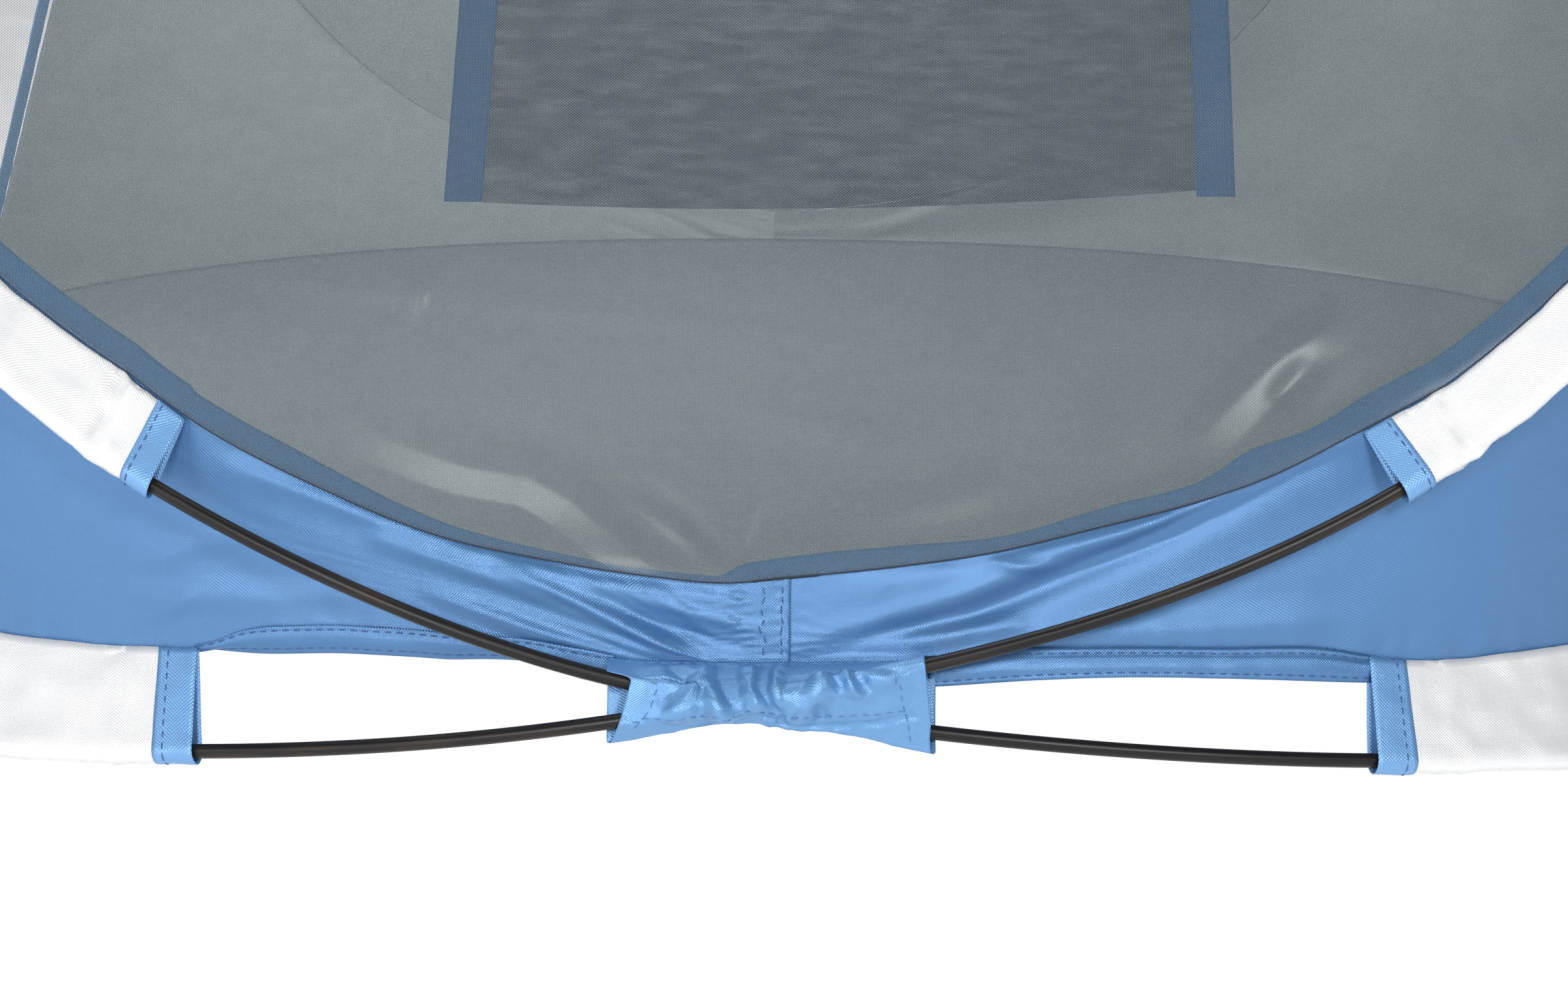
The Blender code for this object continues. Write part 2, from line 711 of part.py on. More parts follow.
def prism(name, outline, height, material):
    """A flat piece of this plan outline that lies on the ground."""
    mesh = bmesh.new()
    face = mesh.faces.new([mesh.verts.new((x, y, 0.0)) for x, y in outline])
    lift = bmesh.ops.extrude_face_region(mesh, geom=[face])
    top = [v for v in lift["geom"] if isinstance(v, bmesh.types.BMVert)]
    bmesh.ops.translate(mesh, verts=top, vec=(0.0, 0.0, height))
    bmesh.ops.recalc_face_normals(mesh, faces=mesh.faces)
    data = bpy.data.meshes.new(name)
    mesh.to_mesh(data)
    mesh.free()
    return link(name, data, material)


def boolean(obj, other, operation):
    """Cut this piece by a helper, or join the helper to it."""
    other.hide_render = True
    other.display_type = "WIRE"
    change = obj.modifiers.new(other.name, "BOOLEAN")
    change.object = other
    change.operation = operation


def cylinder(name, radius, length, place, turn, sides, material):
    mesh = bmesh.new()
    bmesh.ops.create_cone(mesh, segments=sides, radius1=radius, radius2=radius, depth=length, cap_ends=True)
    data = bpy.data.meshes.new(name)
    mesh.to_mesh(data)
    mesh.free()
    obj = link(name, data, material)
    obj.matrix_world = Matrix.Translation(Vector(place)) @ turn.to_4x4()
    return obj


def flap_hinge_x():
    """The piping turns in place here, clear of the front sleeve beside it."""
    reach = SLEEVE_RADIUS + CLOTH / 2 + PIPING_RADIUS + EDGE_GAP / 2
    rise = SLEEVE_RADIUS + CLOTH / 2 - PIPING_RADIUS
    return -FLOOR_HALF_WIDTH - math.sqrt(reach**2 - rise**2)


def front_flap(material):
    """Flap that lies on the ground before the mouth, with a piping at its inner edge on which it turns up."""
    near = flap_hinge_x()
    corner_x = near - FLAP_LENGTH + FLAP_CORNER
    corner_y = FLAP_TIP_HALF_WIDTH - FLAP_CORNER
    outline = [(near, FLAP_HALF_WIDTH)]
    for turn in np.linspace(0.0, math.pi / 2, 6):
        outline.append((corner_x - FLAP_CORNER * math.sin(turn), corner_y + FLAP_CORNER * math.cos(turn)))
    outline += [(x, -y) for x, y in reversed(outline)]
    flap = prism("front_flap", outline, FLAP_THICKNESS, material)
    turn = Matrix.Rotation(math.pi / 2, 3, "X")
    place = (near, 0.0, PIPING_RADIUS)
    piping = cylinder("flap_piping", PIPING_RADIUS, 2 * FLAP_HALF_WIDTH + 0.004, place, turn, 12, material)
    boolean(flap, piping, "UNION")


# Pocket


def pocket_spot(x, z):
    """A point just inside the net window of the right end."""
    inside = CLOTH + POCKET_GAP
    return (x, end_plane_y(z) + inside * math.cos(END_LEAN), z - inside * math.sin(END_LEAN))


def pocket(net, tape):
    """Flat net pocket with a sagging foot, bound with tape down both sides."""
    inner = (POCKET_LEFT + POCKET_TAPE_WIDTH, POCKET_RIGHT - POCKET_TAPE_WIDTH)
    rows = []
    for share in np.linspace(0.0, 1.0, 4):
        row = []
        for x in np.linspace(inner[0] + CLEARANCE, inner[1] - CLEARANCE, 7):
            middle = 2 * (x - POCKET_LEFT) / (POCKET_RIGHT - POCKET_LEFT) - 1
            foot = POCKET_FOOT - POCKET_SAG * (1 - middle**2)
            row.append(pocket_spot(x, foot + share * (POCKET_FOOT + POCKET_HEIGHT - foot)))
        rows.append(row)
    cloth("pocket_net", rows, net)
    for name, start, end in (
        ("pocket_tape_left", POCKET_LEFT, inner[0]),
        ("pocket_tape_right", inner[1], POCKET_RIGHT),
    ):
        rows = [
            [pocket_spot(x, POCKET_FOOT), pocket_spot(x, POCKET_FOOT + POCKET_HEIGHT)]
            for x in (start, end)
        ]
        cloth(name, rows, tape)


def peg_tabs(webbing, steel):
    """Webbing tabs that come out from under the floor sleeves, each with an eyelet pressed into it."""
    place = TAB_PLACE * lengths(FLOOR)[-1]
    root, ahead = pick(FLOOR, [place, place + 0.005])
    way = unit(ahead - root)[:2]
    out = np.array([way[1], -way[0]])
    flat = Matrix.Identity(3)
    for side_name, x in SIDES:
        for end_name, y in ENDS:
            sign = np.array([x, y])
            start, reach, across_way = root[:2] * sign, out * sign, way * sign
            round_centre = start + (TAB_LENGTH - TAB_WIDTH / 2) * reach
            outline = [start + 0.5 * TAB_WIDTH * across_way]
            for turn in np.linspace(0.0, math.pi, 9):
                spin = math.cos(turn) * across_way + math.sin(turn) * reach
                outline.append(round_centre + 0.5 * TAB_WIDTH * spin)
            outline.append(start - 0.5 * TAB_WIDTH * across_way)
            tab = prism(f"peg_tab_{side_name}_{end_name}", outline, TAB_THICKNESS, webbing)
            hole = start + EYELET_PLACE * reach
            name = f"peg_eyelet_{side_name}_{end_name}"
            ring_z = TAB_THICKNESS + CLEARANCE + EYELET_THICKNESS / 2
            ring = cylinder(name, EYELET_RADIUS, EYELET_THICKNESS, (*hole, ring_z), flat, 16, steel)
            bore = (*hole, 0.0)
            cutter = cylinder(f"peg_hole_{side_name}_{end_name}", EYELET_HOLE, 0.02, bore, flat, 16, steel)
            boolean(tab, cutter, "DIFFERENCE")
            boolean(ring, cutter, "DIFFERENCE")


def build():
    clear_scene()
    blue = finish("blue_cloth", (0.13, 0.32, 0.66), 0.45)
    silver = finish("silver_cloth", (0.72, 0.73, 0.75), 0.35, 0.5)
    net = finish("grey_net", (0.42, 0.46, 0.45), 0.6)
    ground = finish("grey_floor", (0.40, 0.43, 0.44), 0.6)
    fibre = finish("black_fibreglass", (0.03, 0.028, 0.028), 0.35)
    steel = finish("ferrule_steel", (0.55, 0.56, 0.58), 0.3, 1.0)
    webbing = finish("tab_webbing", (0.05, 0.05, 0.06), 0.7)

    hoop("a", 1, fibre, steel)
    hoop("b", -1, fibre, steel)
    for side_name, x in SIDES:
        sleeves(side_name, x, silver, blue)
        for end_name, y in ENDS:
            flange(f"seam_flange_{side_name}_{end_name}", x, y, blue)
    for end_name, y in ENDS:
        front_corner(f"front_corner_{end_name}", y, blue)
        mouth_binding(f"mouth_binding_{end_name}", y, blue)
        crossing_wrap(f"crossing_wrap_{end_name}", y, y, blue)
    end_panel("net_window_right", 1, net)
    end_panel("end_panel_left", -1, silver)
    back_wall(blue)
    roof_panel(silver)
    floor_sheet(ground)
    pocket(net, blue)
    front_flap(ground)
    peg_tabs(webbing, steel)


build()
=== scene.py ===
"""Looks of the pop-up beach shelter: fine cloth, net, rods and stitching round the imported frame.

Metres, +Z up, in the frame's own axes. The open front faces -X and the photographed end faces -Y.
"""

import json
import math

import bpy
import numpy as np
from mathutils import Matrix, Vector, kdtree, noise

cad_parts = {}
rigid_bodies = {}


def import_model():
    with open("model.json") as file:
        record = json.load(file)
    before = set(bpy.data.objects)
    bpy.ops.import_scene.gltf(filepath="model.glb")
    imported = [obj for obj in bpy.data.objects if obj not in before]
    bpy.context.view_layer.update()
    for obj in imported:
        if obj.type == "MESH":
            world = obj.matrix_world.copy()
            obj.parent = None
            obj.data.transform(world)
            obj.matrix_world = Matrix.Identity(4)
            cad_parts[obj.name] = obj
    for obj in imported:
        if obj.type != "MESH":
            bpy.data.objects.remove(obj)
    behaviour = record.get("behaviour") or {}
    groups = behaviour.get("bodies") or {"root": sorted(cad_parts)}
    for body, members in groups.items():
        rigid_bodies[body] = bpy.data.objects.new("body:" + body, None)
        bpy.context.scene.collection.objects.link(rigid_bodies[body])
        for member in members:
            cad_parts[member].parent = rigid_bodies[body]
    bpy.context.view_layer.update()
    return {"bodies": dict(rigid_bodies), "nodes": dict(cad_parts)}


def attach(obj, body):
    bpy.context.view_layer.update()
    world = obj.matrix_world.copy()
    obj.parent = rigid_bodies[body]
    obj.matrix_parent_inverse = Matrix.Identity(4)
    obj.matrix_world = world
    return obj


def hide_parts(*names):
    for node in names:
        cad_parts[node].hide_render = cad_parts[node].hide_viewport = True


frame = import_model()
ROOT = next(name for name in frame["bodies"] if name != "flap")

# The frame's own curves, which the fine cloth follows
ROD_RADIUS = 0.00275
HALF_LENGTH = 0.750
FLOOR_HALF_WIDTH = 0.600
FLOOR_SQUARENESS = 2.5
CROSSING_HEIGHT = 0.044
CROSSING_SLOPE = 0.168
CROSSING_SHIFT = -0.018
CROSSING_SHIFT_REACH = 0.120
CROSSING_REACH = 0.090
STRAY_FADE = 0.090
GROUND_FALL = 0.220
RIB_ENTRY = (0.2225, 0.0235, 0.116)
RIB_ENTRY_WAY = (1.0, 0.288, 0.510)
RIB_BELLY_OUT = 0.031
RIB_RIDGE_OUT = 0.021
RIB_RIDGE_UP = 0.030
FERRULE_PLACE = 0.260
SEAM_SETBACK = 0.015
SEAM_FOOT_HEIGHT = 0.0871
SEAM_FOOT_REACH = 0.174
SEAM_FOOT_RISE = 0.103
END_LEAN = math.radians(22.0)
BELLY_HALF_WIDTH = 0.403
BELLY_HEIGHT = 0.460
END_TOP_HALF_WIDTH = 0.365
END_TOP_HEIGHT = 0.660
RIDGE_HALF_WIDTH = 0.255
RIDGE_HEIGHT = 0.945
ROOF_SAG = 0.012
WALL_SAG = 0.016
HEM_HEIGHT_END = 0.066
HEM_HEIGHT_SIDE = 0.036
HEM_INSET_END = 0.013
HEM_INSET_SIDE = 0.026
FLOOR_RAMP_END = 0.450
FLOOR_RAMP_SIDE = 0.140
SLEEVE_RADIUS = 0.0048
TAPE_START = 0.2125
MOUTH_HALF_WIDTH = 0.440
CLEARANCE = 0.0003
DENSE = 240
ENDS = (("right", 1), ("left", -1))
SIDES = (("front", -1), ("back", 1))
SIDE_SIGN = dict(SIDES)
PANEL_GAP = 0.0004
UPWARD = (0.0, 0.0, 1.0)
CABIN_MIDDLE = (0.0, 0.0, 0.35)

# Thicknesses and laps of the cloth, and the least width that a cut may have
CLOTH = 0.00035
LEAST_CUT = 0.0101
NET_LAP = 0.0016
NET_LIFT = 0.0013
BAND_LAP = 0.0003
BAND_DEPTHS = (0.0010, 0.0005)
FOOT_LAP = 0.0030
FELL_LAP = 0.0069
FELL_ROWS = (-0.0035, 0.0037)
FELL_HEIGHTS = (0.0590, 0.0855)
FELL_DEPTHS = (-0.7385, -0.7372)
FLOOR_TOP = 0.0008
FLOOR_RIM_LAP = 0.0010
FLOOR_INSETS = (0.0008, 0.0014)

# How fine the pieces are near the photographed end, and farther off
ROD_STEP = 0.003
NEAR_STEP = 0.0025
FAR_STEP = 0.010
NEAR_REACH = 0.360
WALL_ROWS = 72
WINDOW_ROWS = 260
ROOF_ROWS = 110
FLOOR_RAMP_RINGS = 40

# The net's lower edge at the photographed end, (x, z) in the leaning plane
NET_EDGE = (
    (-0.2401, 0.1581), (-0.2252, 0.1474), (-0.2170, 0.1421), (-0.1651, 0.1166),
    (-0.1229, 0.1010), (-0.0842, 0.0931), (-0.0456, 0.0875), (-0.0152, 0.0854),
    (0.0034, 0.0872), (0.0419, 0.0911), (0.0804, 0.0966), (0.1190, 0.1055),
    (0.1577, 0.1153), (0.1811, 0.1231), (0.2171, 0.1403), (0.2466, 0.1553),
)
# Width of the blue seam allowance behind the net, by x
BAND_WIDTH = (
    (-0.2200, 0.0115), (-0.1890, 0.0110), (-0.1466, 0.0080), (-0.1076, 0.0052),
    (-0.0686, 0.0036), (-0.0190, 0.0032), (-0.0122, 0.0066), (0.0033, 0.0080),
    (0.0464, 0.0082), (0.0897, 0.0058), (0.1267, 0.0076), (0.1641, 0.0088),
    (0.1782, 0.0130), (0.2078, 0.0110), (0.2206, 0.0125),
)
BAND_SIDE_WIDTH = 0.0128
BAND_LEAST_WIDTH = 0.0032
# Foot of the walls at the photographed end, (x, z) on the lower seam
WALL_FOOT = (
    (-0.2424, 0.0556), (-0.2290, 0.0561), (-0.2150, 0.0566), (-0.2076, 0.0583), (-0.1985, 0.0625),
    (-0.1716, 0.0664), (-0.1232, 0.0659), (-0.0827, 0.0631), (-0.0567, 0.0588), (-0.0300, 0.0576),
    (0.0000, 0.0574), (0.0276, 0.0580), (0.0563, 0.0591), (0.0850, 0.0619), (0.1236, 0.0622),
    (0.1656, 0.0610), (0.2110, 0.0585), (0.2212, 0.0562), (0.2329, 0.0545), (0.2503, 0.0534),
)
# Lower edge of the hem band under the walls, (x, z)
BAND_FOOT = (
    (-0.2150, 0.0549), (-0.1909, 0.0544), (-0.1587, 0.0560), (-0.1231, 0.0554), (-0.0826, 0.0536),
    (-0.0710, 0.0494), (-0.0500, 0.0470), (0.0583, 0.0486), (0.0996, 0.0509), (0.1305, 0.0514),
    (0.1727, 0.0497), (0.2213, 0.0461),
)
FLANGE_START = 0.0575
FLANGE_DROP = 0.0110
FLANGE_KICKS = {"front": -0.0022, "back": 0.0040}
FLANGE_ROWS = (0.19, 0.85)
# Where the sleeves start at the photographed end: x of the upper seam, roof rib, lower seam, floor rod
SLEEVE_STARTS = {"front": (0.2168, 0.2281, 0.2142, 0.2131), "back": (0.2174, 0.2312, 0.2228, 0.2240)}
TAPE_TRAVEL = {"roof": 0.0118, "floor": 0.0155}
TAPE_STITCHES = {"roof": 0.80, "floor": 0.74}
TAPE_SWELL = 0.0005
SLEEVE_SEAM_GAP = 0.0013
SLEEVE_HALF_THICKNESS = 0.00045
SLEEVE_PUCKERS = {"roof": 0.0030, "floor": 0.0013}

# Folds: a line of (x, z) points, a width and a height, in metres
WALL_FOLD_STRENGTH = 1.45
WRAP_FOLD_STRENGTH = 1.3
FAR_END_FOLDS = 0.3
LEFT_WALL_FOLDS = (
    (((-0.2000, 0.1240), (-0.1301, 0.1050), (-0.0682, 0.0850), (-0.0120, 0.0790)), 0.0050, 0.0020),
    (((-0.1450, 0.1000), (-0.0777, 0.0796), (-0.0350, 0.0600)), 0.0042, 0.0022),
    (((-0.0968, 0.0900), (-0.0610, 0.0724), (-0.0260, 0.0560)), 0.0030, 0.0020),
    (((-0.0860, 0.0830), (-0.0500, 0.0650), (-0.0400, 0.0590)), 0.0024, -0.0016),
    (((-0.0500, 0.0800), (-0.0060, 0.0690)), 0.0028, 0.0014),
    (((-0.0520, 0.0735), (-0.0100, 0.0605)), 0.0026, -0.0014),
    (((-0.1250, 0.0800), (-0.0777, 0.0640), (-0.0580, 0.0585)), 0.0032, 0.0015),
    (((-0.0170, 0.0840), (-0.0110, 0.0800)), 0.0014, -0.0012),
    (((-0.2352, 0.0870), (-0.2113, 0.0955), (-0.1940, 0.0985)), 0.0045, 0.0007),
    (((-0.2354, 0.0735), (-0.1828, 0.0763), (-0.1400, 0.0800)), 0.0050, 0.0006),
    (((-0.2400, 0.1080), (-0.1900, 0.0840), (-0.1500, 0.0740)), 0.0090, -0.0008),
    (((-0.2300, 0.0660), (-0.2150, 0.0760)), 0.0035, 0.0006),
)
RIGHT_WALL_FOLDS = (
    (((0.0040, 0.0560), (0.0751, 0.0760), (0.1462, 0.1056), (0.1980, 0.1330)), 0.0060, -0.0027),
    (((0.0080, 0.0620), (0.0704, 0.0800), (0.1300, 0.1030), (0.1900, 0.1330)), 0.0050, 0.0018),
    (((0.0060, 0.0575), (0.0400, 0.0640), (0.0894, 0.0715)), 0.0040, 0.0014),
    (((0.0820, 0.0945), (0.0900, 0.0918), (0.1020, 0.0925)), 0.0024, 0.0012),
    (((0.0900, 0.0965), (0.1300, 0.1050), (0.1645, 0.1190), (0.2070, 0.1390)), 0.0050, 0.0022),
    (((0.0300, 0.0830), (0.1000, 0.0960)), 0.0090, 0.0010),
    (((0.0900, 0.0680), (0.2000, 0.0690)), 0.0060, 0.0008),
)
NET_RIDGES = (
    (((-0.1500, 0.1390), (-0.1300, 0.1315), (-0.1135, 0.1262), (-0.0900, 0.1228), (-0.0745, 0.1145),
      (-0.0632, 0.1055), (-0.0480, 0.0940), (-0.0360, 0.0850)), 0.0105, 0.0022),
    (((0.1600, 0.1400), (0.1720, 0.1520), (0.1850, 0.1640), (0.2080, 0.1790)), 0.0100, 0.0010),
    (((-0.0560, 0.1160), (-0.0420, 0.1080), (-0.0300, 0.1000), (-0.0165, 0.0881)), 0.0055, 0.0010),
)
NET_FOLDS = (
    (((-0.1400, 0.1450), (-0.1000, 0.1400), (-0.0700, 0.1300), (-0.0450, 0.1120)), 0.0070, -0.0004),
    (((-0.0520, 0.1220), (-0.0300, 0.1090), (-0.0150, 0.0880)), 0.0040, -0.0005),
    (((-0.0060, 0.1150), (-0.0120, 0.0990), (-0.0150, 0.0885)), 0.0032, 0.0004),
    (((0.1850, 0.1500), (0.2000, 0.1650)), 0.0050, -0.0016),
    (((-0.2036, 0.1939), (-0.1549, 0.1882), (-0.1221, 0.1864), (-0.0703, 0.1814), (0.0027, 0.1745),
      (0.0900, 0.1580)), 0.0040, 0.0004),
    (((-0.1300, 0.1960), (-0.1330, 0.1800)), 0.0022, 0.0010),
    (((0.0800, 0.1180), (0.0300, 0.1080)), 0.0070, 0.0009),
    (((-0.0150, 0.1500), (0.0500, 0.1330)), 0.0080, 0.0008),
)
WRAP_CREASES = (
    (((-0.0419, 0.0522), (-0.0368, 0.0507), (-0.0303, 0.0483)), 0.0040, 0.0014),
    (((-0.0303, 0.0483), (-0.0327, 0.0463), (-0.0364, 0.0414)), 0.0045, 0.0016),
    (((-0.0364, 0.0414), (-0.0295, 0.0463), (-0.0248, 0.0519), (-0.0204, 0.0556)), 0.0055, 0.0028),
    (((-0.0248, 0.0519), (-0.0204, 0.0471), (-0.0167, 0.0418), (-0.0125, 0.0390)), 0.0060, 0.0030),
    (((-0.0350, 0.0541), (-0.0295, 0.0531), (-0.0248, 0.0519)), 0.0040, 0.0018),
    (((-0.0186, 0.0584), (-0.0175, 0.0529), (-0.0149, 0.0464), (-0.0094, 0.0437)), 0.0062, -0.0030),
    (((-0.0094, 0.0432), (-0.0040, 0.0469), (-0.0001, 0.0428), (0.0039, 0.0399)), 0.0045, 0.0020),
    (((-0.0076, 0.0585), (-0.0065, 0.0520), (-0.0094, 0.0448)), 0.0050, 0.0012),
    (((0.0023, 0.0590), (-0.0019, 0.0544), (-0.0027, 0.0497), (-0.0005, 0.0449),
      (0.0034, 0.0414)), 0.0042, -0.0032),
    (((0.0052, 0.0581), (0.0017, 0.0544), (0.0008, 0.0488), (0.0043, 0.0429)), 0.0042, 0.0026),
    (((0.0046, 0.0405), (0.0035, 0.0362)), 0.0036, -0.0024),
    (((0.0052, 0.0366), (0.0097, 0.0438), (0.0143, 0.0483), (0.0176, 0.0535),
      (0.0234, 0.0567)), 0.0080, 0.0036),
    (((0.0079, 0.0466), (0.0125, 0.0522), (0.0148, 0.0559)), 0.0050, -0.0020),
    (((0.0221, 0.0569), (0.0271, 0.0560), (0.0319, 0.0590), (0.0362, 0.0579)), 0.0040, 0.0024),
    (((0.0271, 0.0560), (0.0289, 0.0521), (0.0337, 0.0485)), 0.0042, 0.0024),
    (((0.0221, 0.0548), (0.0245, 0.0530), (0.0277, 0.0527)), 0.0034, -0.0024),
    (((0.0297, 0.0569), (0.0319, 0.0540), (0.0344, 0.0514)), 0.0032, -0.0024),
    (((0.0353, 0.0579), (0.0399, 0.0547), (0.0463, 0.0534)), 0.0060, 0.0014),
    (((0.0161, 0.0474), (0.0178, 0.0430), (0.0191, 0.0389)), 0.0032, -0.0012),
    (((0.0107, 0.0466), (0.0087, 0.0420), (0.0070, 0.0366)), 0.0024, -0.0014),
    (((-0.0049, 0.0393), (-0.0003, 0.0375), (0.0052, 0.0377)), 0.0028, 0.0016),
    (((-0.0094, 0.0398), (-0.0040, 0.0404), (0.0023, 0.0384)), 0.0026, -0.0012),
    (((-0.0405, 0.0471), (-0.0394, 0.0434), (-0.0414, 0.0395)), 0.0034, -0.0010),
    (((-0.0286, 0.0435), (-0.0250, 0.0422), (-0.0186, 0.0385)), 0.0040, -0.0012),
)

# The wrap's edges: its foot and its two ends, as (x, z) and (z, x)
WRAP_FOOT = (
    (-0.0583, 0.0285), (-0.0495, 0.0299), (-0.0340, 0.0334), (-0.0216, 0.0357), (-0.0029, 0.0361),
    (0.0038, 0.0351), (0.0259, 0.0327), (0.0513, 0.0268), (0.0577, 0.0254),
)
WRAP_LEFT_END = ((0.0285, -0.0583), (0.0400, -0.0545), (0.0523, -0.0512), (0.0600, -0.0546))
WRAP_RIGHT_END = ((0.0254, 0.0577), (0.0372, 0.0584), (0.0618, 0.0557))
WRAP_LEFT, WRAP_RIGHT = -0.0575, 0.0577
WRAP_BACK_REACH = 0.0026
WRAP_ROOM = 0.0038
WRAP_HEM_Y = -0.7490
WRAP_HEAD_LIFT = 0.0010
WRAP_HEAD_DROP = 0.0004
WRAP_FRONT = (0.7485, 0.7510)
WRAP_HEAD_ROW = (-0.0545, 0.0530)
WRAP_HEAD_ROW_DROP = 0.0012
WRAP_TURNS = 120
WRAP_CUTS = 150

# Stitch rows on the wrap, (x, z)
WRAP_LEFT_ROW = (
    (-0.0462, 0.0575), (-0.0419, 0.0520), (-0.0453, 0.0442), (-0.0482, 0.0364), (-0.0495, 0.0305),
)
WRAP_RIGHT_ROW = (
    (0.0468, 0.0580), (0.0478, 0.0501), (0.0494, 0.0415), (0.0506, 0.0311), (0.0511, 0.0280),
)
WRAP_FOOT_ROW = (
    (-0.0520, 0.0396), (-0.0436, 0.0377), (-0.0334, 0.0360), (-0.0266, 0.0368), (-0.0148, 0.0374),
    (-0.0080, 0.0378), (0.0038, 0.0365), (0.0174, 0.0358), (0.0326, 0.0366), (0.0427, 0.0380),
    (0.0503, 0.0402),
)

# One stitch: its pitch, length and thickness, and its rings as (place along it, share of its radius)
STITCH_PITCH = 0.0043
STITCH_LENGTH = 0.0036
STITCH_RADIUS = 0.00030
STITCH_SIDES = 6
STITCH_RINGS = ((-1.0, 0.35), (-0.62, 0.92), (0.0, 1.0), (0.62, 0.92), (1.0, 0.35))

# Front mouth and its flap, net pocket, peg tabs
BINDING_WIDTH = 0.0120
BINDING_END_GAP = 0.0080
BINDING_ROWS = (0.22, 0.78)
BINDING_HALF_THICKNESS = 0.0009
BINDING_STITCH_LIFT = 0.0010
FLAP_HALF_WIDTH = 0.300
FLAP_TIP_HALF_WIDTH = 0.230
FLAP_LENGTH = 0.420
FLAP_CORNER = 0.060
FLAP_CUTS = 90
FLAP_CLOTH = 0.0008
FLAP_TOP = 0.0010
PIPING_RADIUS = 0.0020
PIPING_GAP = 0.0004
SLEEVE_WALL = 0.00025
POCKET_LEFT = -0.124
POCKET_RIGHT = 0.1725
POCKET_LEANS = (0.054, -0.020)
POCKET_DROPS = (0.0050, 0.0010)
POCKET_FOOT = 0.226
POCKET_HEIGHT = 0.195
POCKET_SAG = 0.005
POCKET_FOOT_TILT = 0.0036
POCKET_TAPE_WIDTH = 0.0145
POCKET_ROWS = (0.20, 0.80)
POCKET_NET_ROOM = 0.0035
POCKET_TAPE_ROOM = 0.0024
TAB_PLACE = 0.620
TAB_LENGTH = 0.045
TAB_WIDTH = 0.020
TAB_THICKNESS = 0.0012
EYELET_PLACE = 0.034
EYELET_HOLE = 0.0040

# The photograph's view: its tilt, its roll, and its place aside, above and back from the crossing.
# Then the studio and its area lights: name, place, aim, size and watts
CAMERA_TILT = math.radians(9.0)
CAMERA_ROLL = math.radians(0.447)
CAMERA_PLACE = (0.0047, 0.0766, 1.59)
CAMERA_LENS = 100.0
CAMERA_SENSOR = 36.0
STUDIO_REACH = 40.0
STUDIO_GLOW = 0.95
SKY_LIGHT = 0.16
LIGHTS = (
    ("key_light", (0.80, -2.65, 1.05), (0.0, -0.7, 0.10), 0.45, 24.0),
    ("left_light", (-0.50, -2.62, 0.60), (0.0, -0.7, 0.10), 0.40, 16.0),
    ("fill_light", (-1.70, -1.90, 0.50), (-0.1, -0.7, 0.08), 1.20, 11.0),
    ("top_light", (-0.6, 0.3, 2.8), (0.0, 0.0, 0.5), 2.0, 45.0),
    ("back_light", (1.2, 2.8, 1.6), (0.0, 0.3, 0.4), 2.0, 45.0),
    ("inside_light", (-0.04, 0.42, 0.66), (0.00, 0.52, 0.02), 0.4, 3.2),
)


def bezier(p0, p1, p2, p3):
    """Points along one cubic curve."""
    t = np.linspace(0.0, 1.0, DENSE)[:, None]
    p0, p1, p2, p3 = (np.array(p, float) for p in (p0, p1, p2, p3))
    return (1 - t) ** 3 * p0 + 3 * (1 - t) ** 2 * t * p1 + 3 * (1 - t) * t**2 * p2 + t**3 * p3


def joined(curves):
    """Curves that meet end to end, as one list of points."""
    return np.vstack([curves[0]] + [c[1:] for c in curves[1:]])


def met(first, second):
    """Two lines that end at one point, as a line from the first's start to the second's."""
    return np.vstack([first, second[::-1][1:]])


def lengths(points):
    """Distance along a curve at each of its points."""
    return np.concatenate([[0.0], np.cumsum(np.linalg.norm(np.diff(points, axis=0), axis=1))])


def pick(points, places, values=None):
    """Points of a curve at these distances along it, or what values holds there."""
    s = lengths(points)
    values = points if values is None else values
    return np.stack([np.interp(places, s, values[:, k]) for k in range(3)], axis=1)


def unit(v):
    v = np.asarray(v, float)
    return v / np.maximum(np.linalg.norm(v, axis=-1, keepdims=True), 1e-12)


def mirrored(points, x, y):
    """The same points on another quarter of the shelter."""
    return np.asarray(points, float) * np.array([x, y, 1.0])


def through(x, points):
    """Height at x of a smooth curve through given points, level beyond its ends."""
    px, py = np.array(points).T
    slope = np.gradient(py, px)
    x = np.clip(x, px[0], px[-1])
    k = np.clip(np.searchsorted(px, x) - 1, 0, len(px) - 2)
    step = px[k + 1] - px[k]
    t = (x - px[k]) / step
    start = (1 + 2 * t) * (1 - t) ** 2 * py[k] + t * (1 - t) ** 2 * step * slope[k]
    end = t * t * (3 - 2 * t) * py[k + 1] + t * t * (t - 1) * step * slope[k + 1]
    return start + end


def smooth(value, low, high):
    """From 0 below low to 1 above high, with soft ends."""
    t = np.clip((value - low) / (high - low), 0.0, 1.0)
    return t * t * (3 - 2 * t)


def bell(value, width):
    """From 1 where the value is zero to nothing at twice this width."""
    return np.exp(-((value / width) ** 2))


def end_plane_y(z):
    """Where the leaning plane of the right end's window is, at a height."""
    return -(HALF_LENGTH - SEAM_SETBACK) + (z - SEAM_FOOT_HEIGHT) * math.tan(END_LEAN)


def on_end_plane(x, z):
    return (x, end_plane_y(z), z)


# Curves of one quarter, at +X and -Y, from the right end's middle to the shelter's middle


